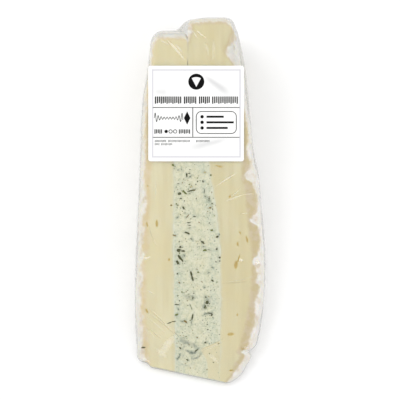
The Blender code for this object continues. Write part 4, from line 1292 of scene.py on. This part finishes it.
left, low, right, high = BORDER
wide = BORDER_WIDTH
border_shapes = bar(left, low, right - left, wide) + bar(left, high - wide, right - left, wide)
border_shapes += bar(left, low + wide, wide, high - low - 2 * wide)
border_shapes += bar(right - wide, low + wide, wide, high - low - 2 * wide)
printed("label_print_border", printing_ink("pale grey label ink", "#DCDBE0"), border_shapes)

# Studio. A pale matt table under an even white sky, a broad soft box high on the left, a narrow
# one low on the right that draws the film's folds, and a camera square to the shown cut face.

CAMERA_DISTANCE = 1.0
VIEW_WIDTH = 0.2                   # the photo's frame takes in 200 mm at the cut face
VIEW_FROM_TIP = 91.5
SKY = 0.94
TABLE_SIZE = 3.0
# Lamps, as name, place and size in metres and power in watts
LAMPS = (("key", (-0.55, 0.35, 0.9), (0.5, 0.5), 2.0), ("side", (0.8, -0.1, 0.35), (0.15, 0.6), 0.8))

bpy.ops.mesh.primitive_plane_add(size=TABLE_SIZE)
table = bpy.context.object
table.name = "table"
table_material, table_tree, table_place = new_material("matt pale laminate")
table_grain = add(table_tree, "ShaderNodeTexNoise", {
    "Vector": table_place, "Scale": 1 / (16 * MM), "Detail": 2.0}).outputs["Fac"]
table_colour = add(table_tree, "ShaderNodeMix", {
    0: table_grain, 6: linear("#FBFBFB"), 7: linear("#FEFEFE")}, data_type="RGBA").outputs[2]
table_shader = add(table_tree, "ShaderNodeBsdfPrincipled", {"Base Color": table_colour, "Roughness": 0.85})
add(table_tree, "ShaderNodeOutputMaterial", {"Surface": table_shader.outputs[0]})
table.data.materials.append(table_material)

look_at = Vector(wedge_points(np.zeros(1), np.array([VIEW_FROM_TIP]), np.ones(1), np.zeros(1))[0])
face_up = Vector((0.0, -math.sin(WEDGE_ANGLE), math.cos(WEDGE_ANGLE)))
camera_data = bpy.data.cameras.new("camera")
camera_data.sensor_width = 36.0
camera_data.lens = camera_data.sensor_width * CAMERA_DISTANCE / VIEW_WIDTH
camera = bpy.data.objects.new("camera", camera_data)
camera.location = look_at + face_up * CAMERA_DISTANCE
camera.rotation_euler = (WEDGE_ANGLE, 0.0, 0.0)
bpy.context.scene.collection.objects.link(camera)
bpy.context.scene.camera = camera

for name, place, size, power in LAMPS:
    light = bpy.data.lights.new(name, "AREA")
    light.shape = "RECTANGLE"
    light.size, light.size_y = size
    light.energy = power
    lamp = bpy.data.objects.new(name, light)
    lamp.location = place
    lamp.rotation_euler = (look_at - Vector(place)).to_track_quat("-Z", "Y").to_euler()
    bpy.context.scene.collection.objects.link(lamp)
world = bpy.data.worlds.new("studio")
world.use_nodes = True
world.node_tree.nodes["Background"].inputs["Color"].default_value = (1.0, 1.0, 1.0, 1.0)
world.node_tree.nodes["Background"].inputs["Strength"].default_value = SKY
bpy.context.scene.world = world
bpy.context.scene.view_settings.view_transform = "Standard"
bpy.context.scene.cycles.transparent_max_bounces = 32    # light crosses many walls of film and folds
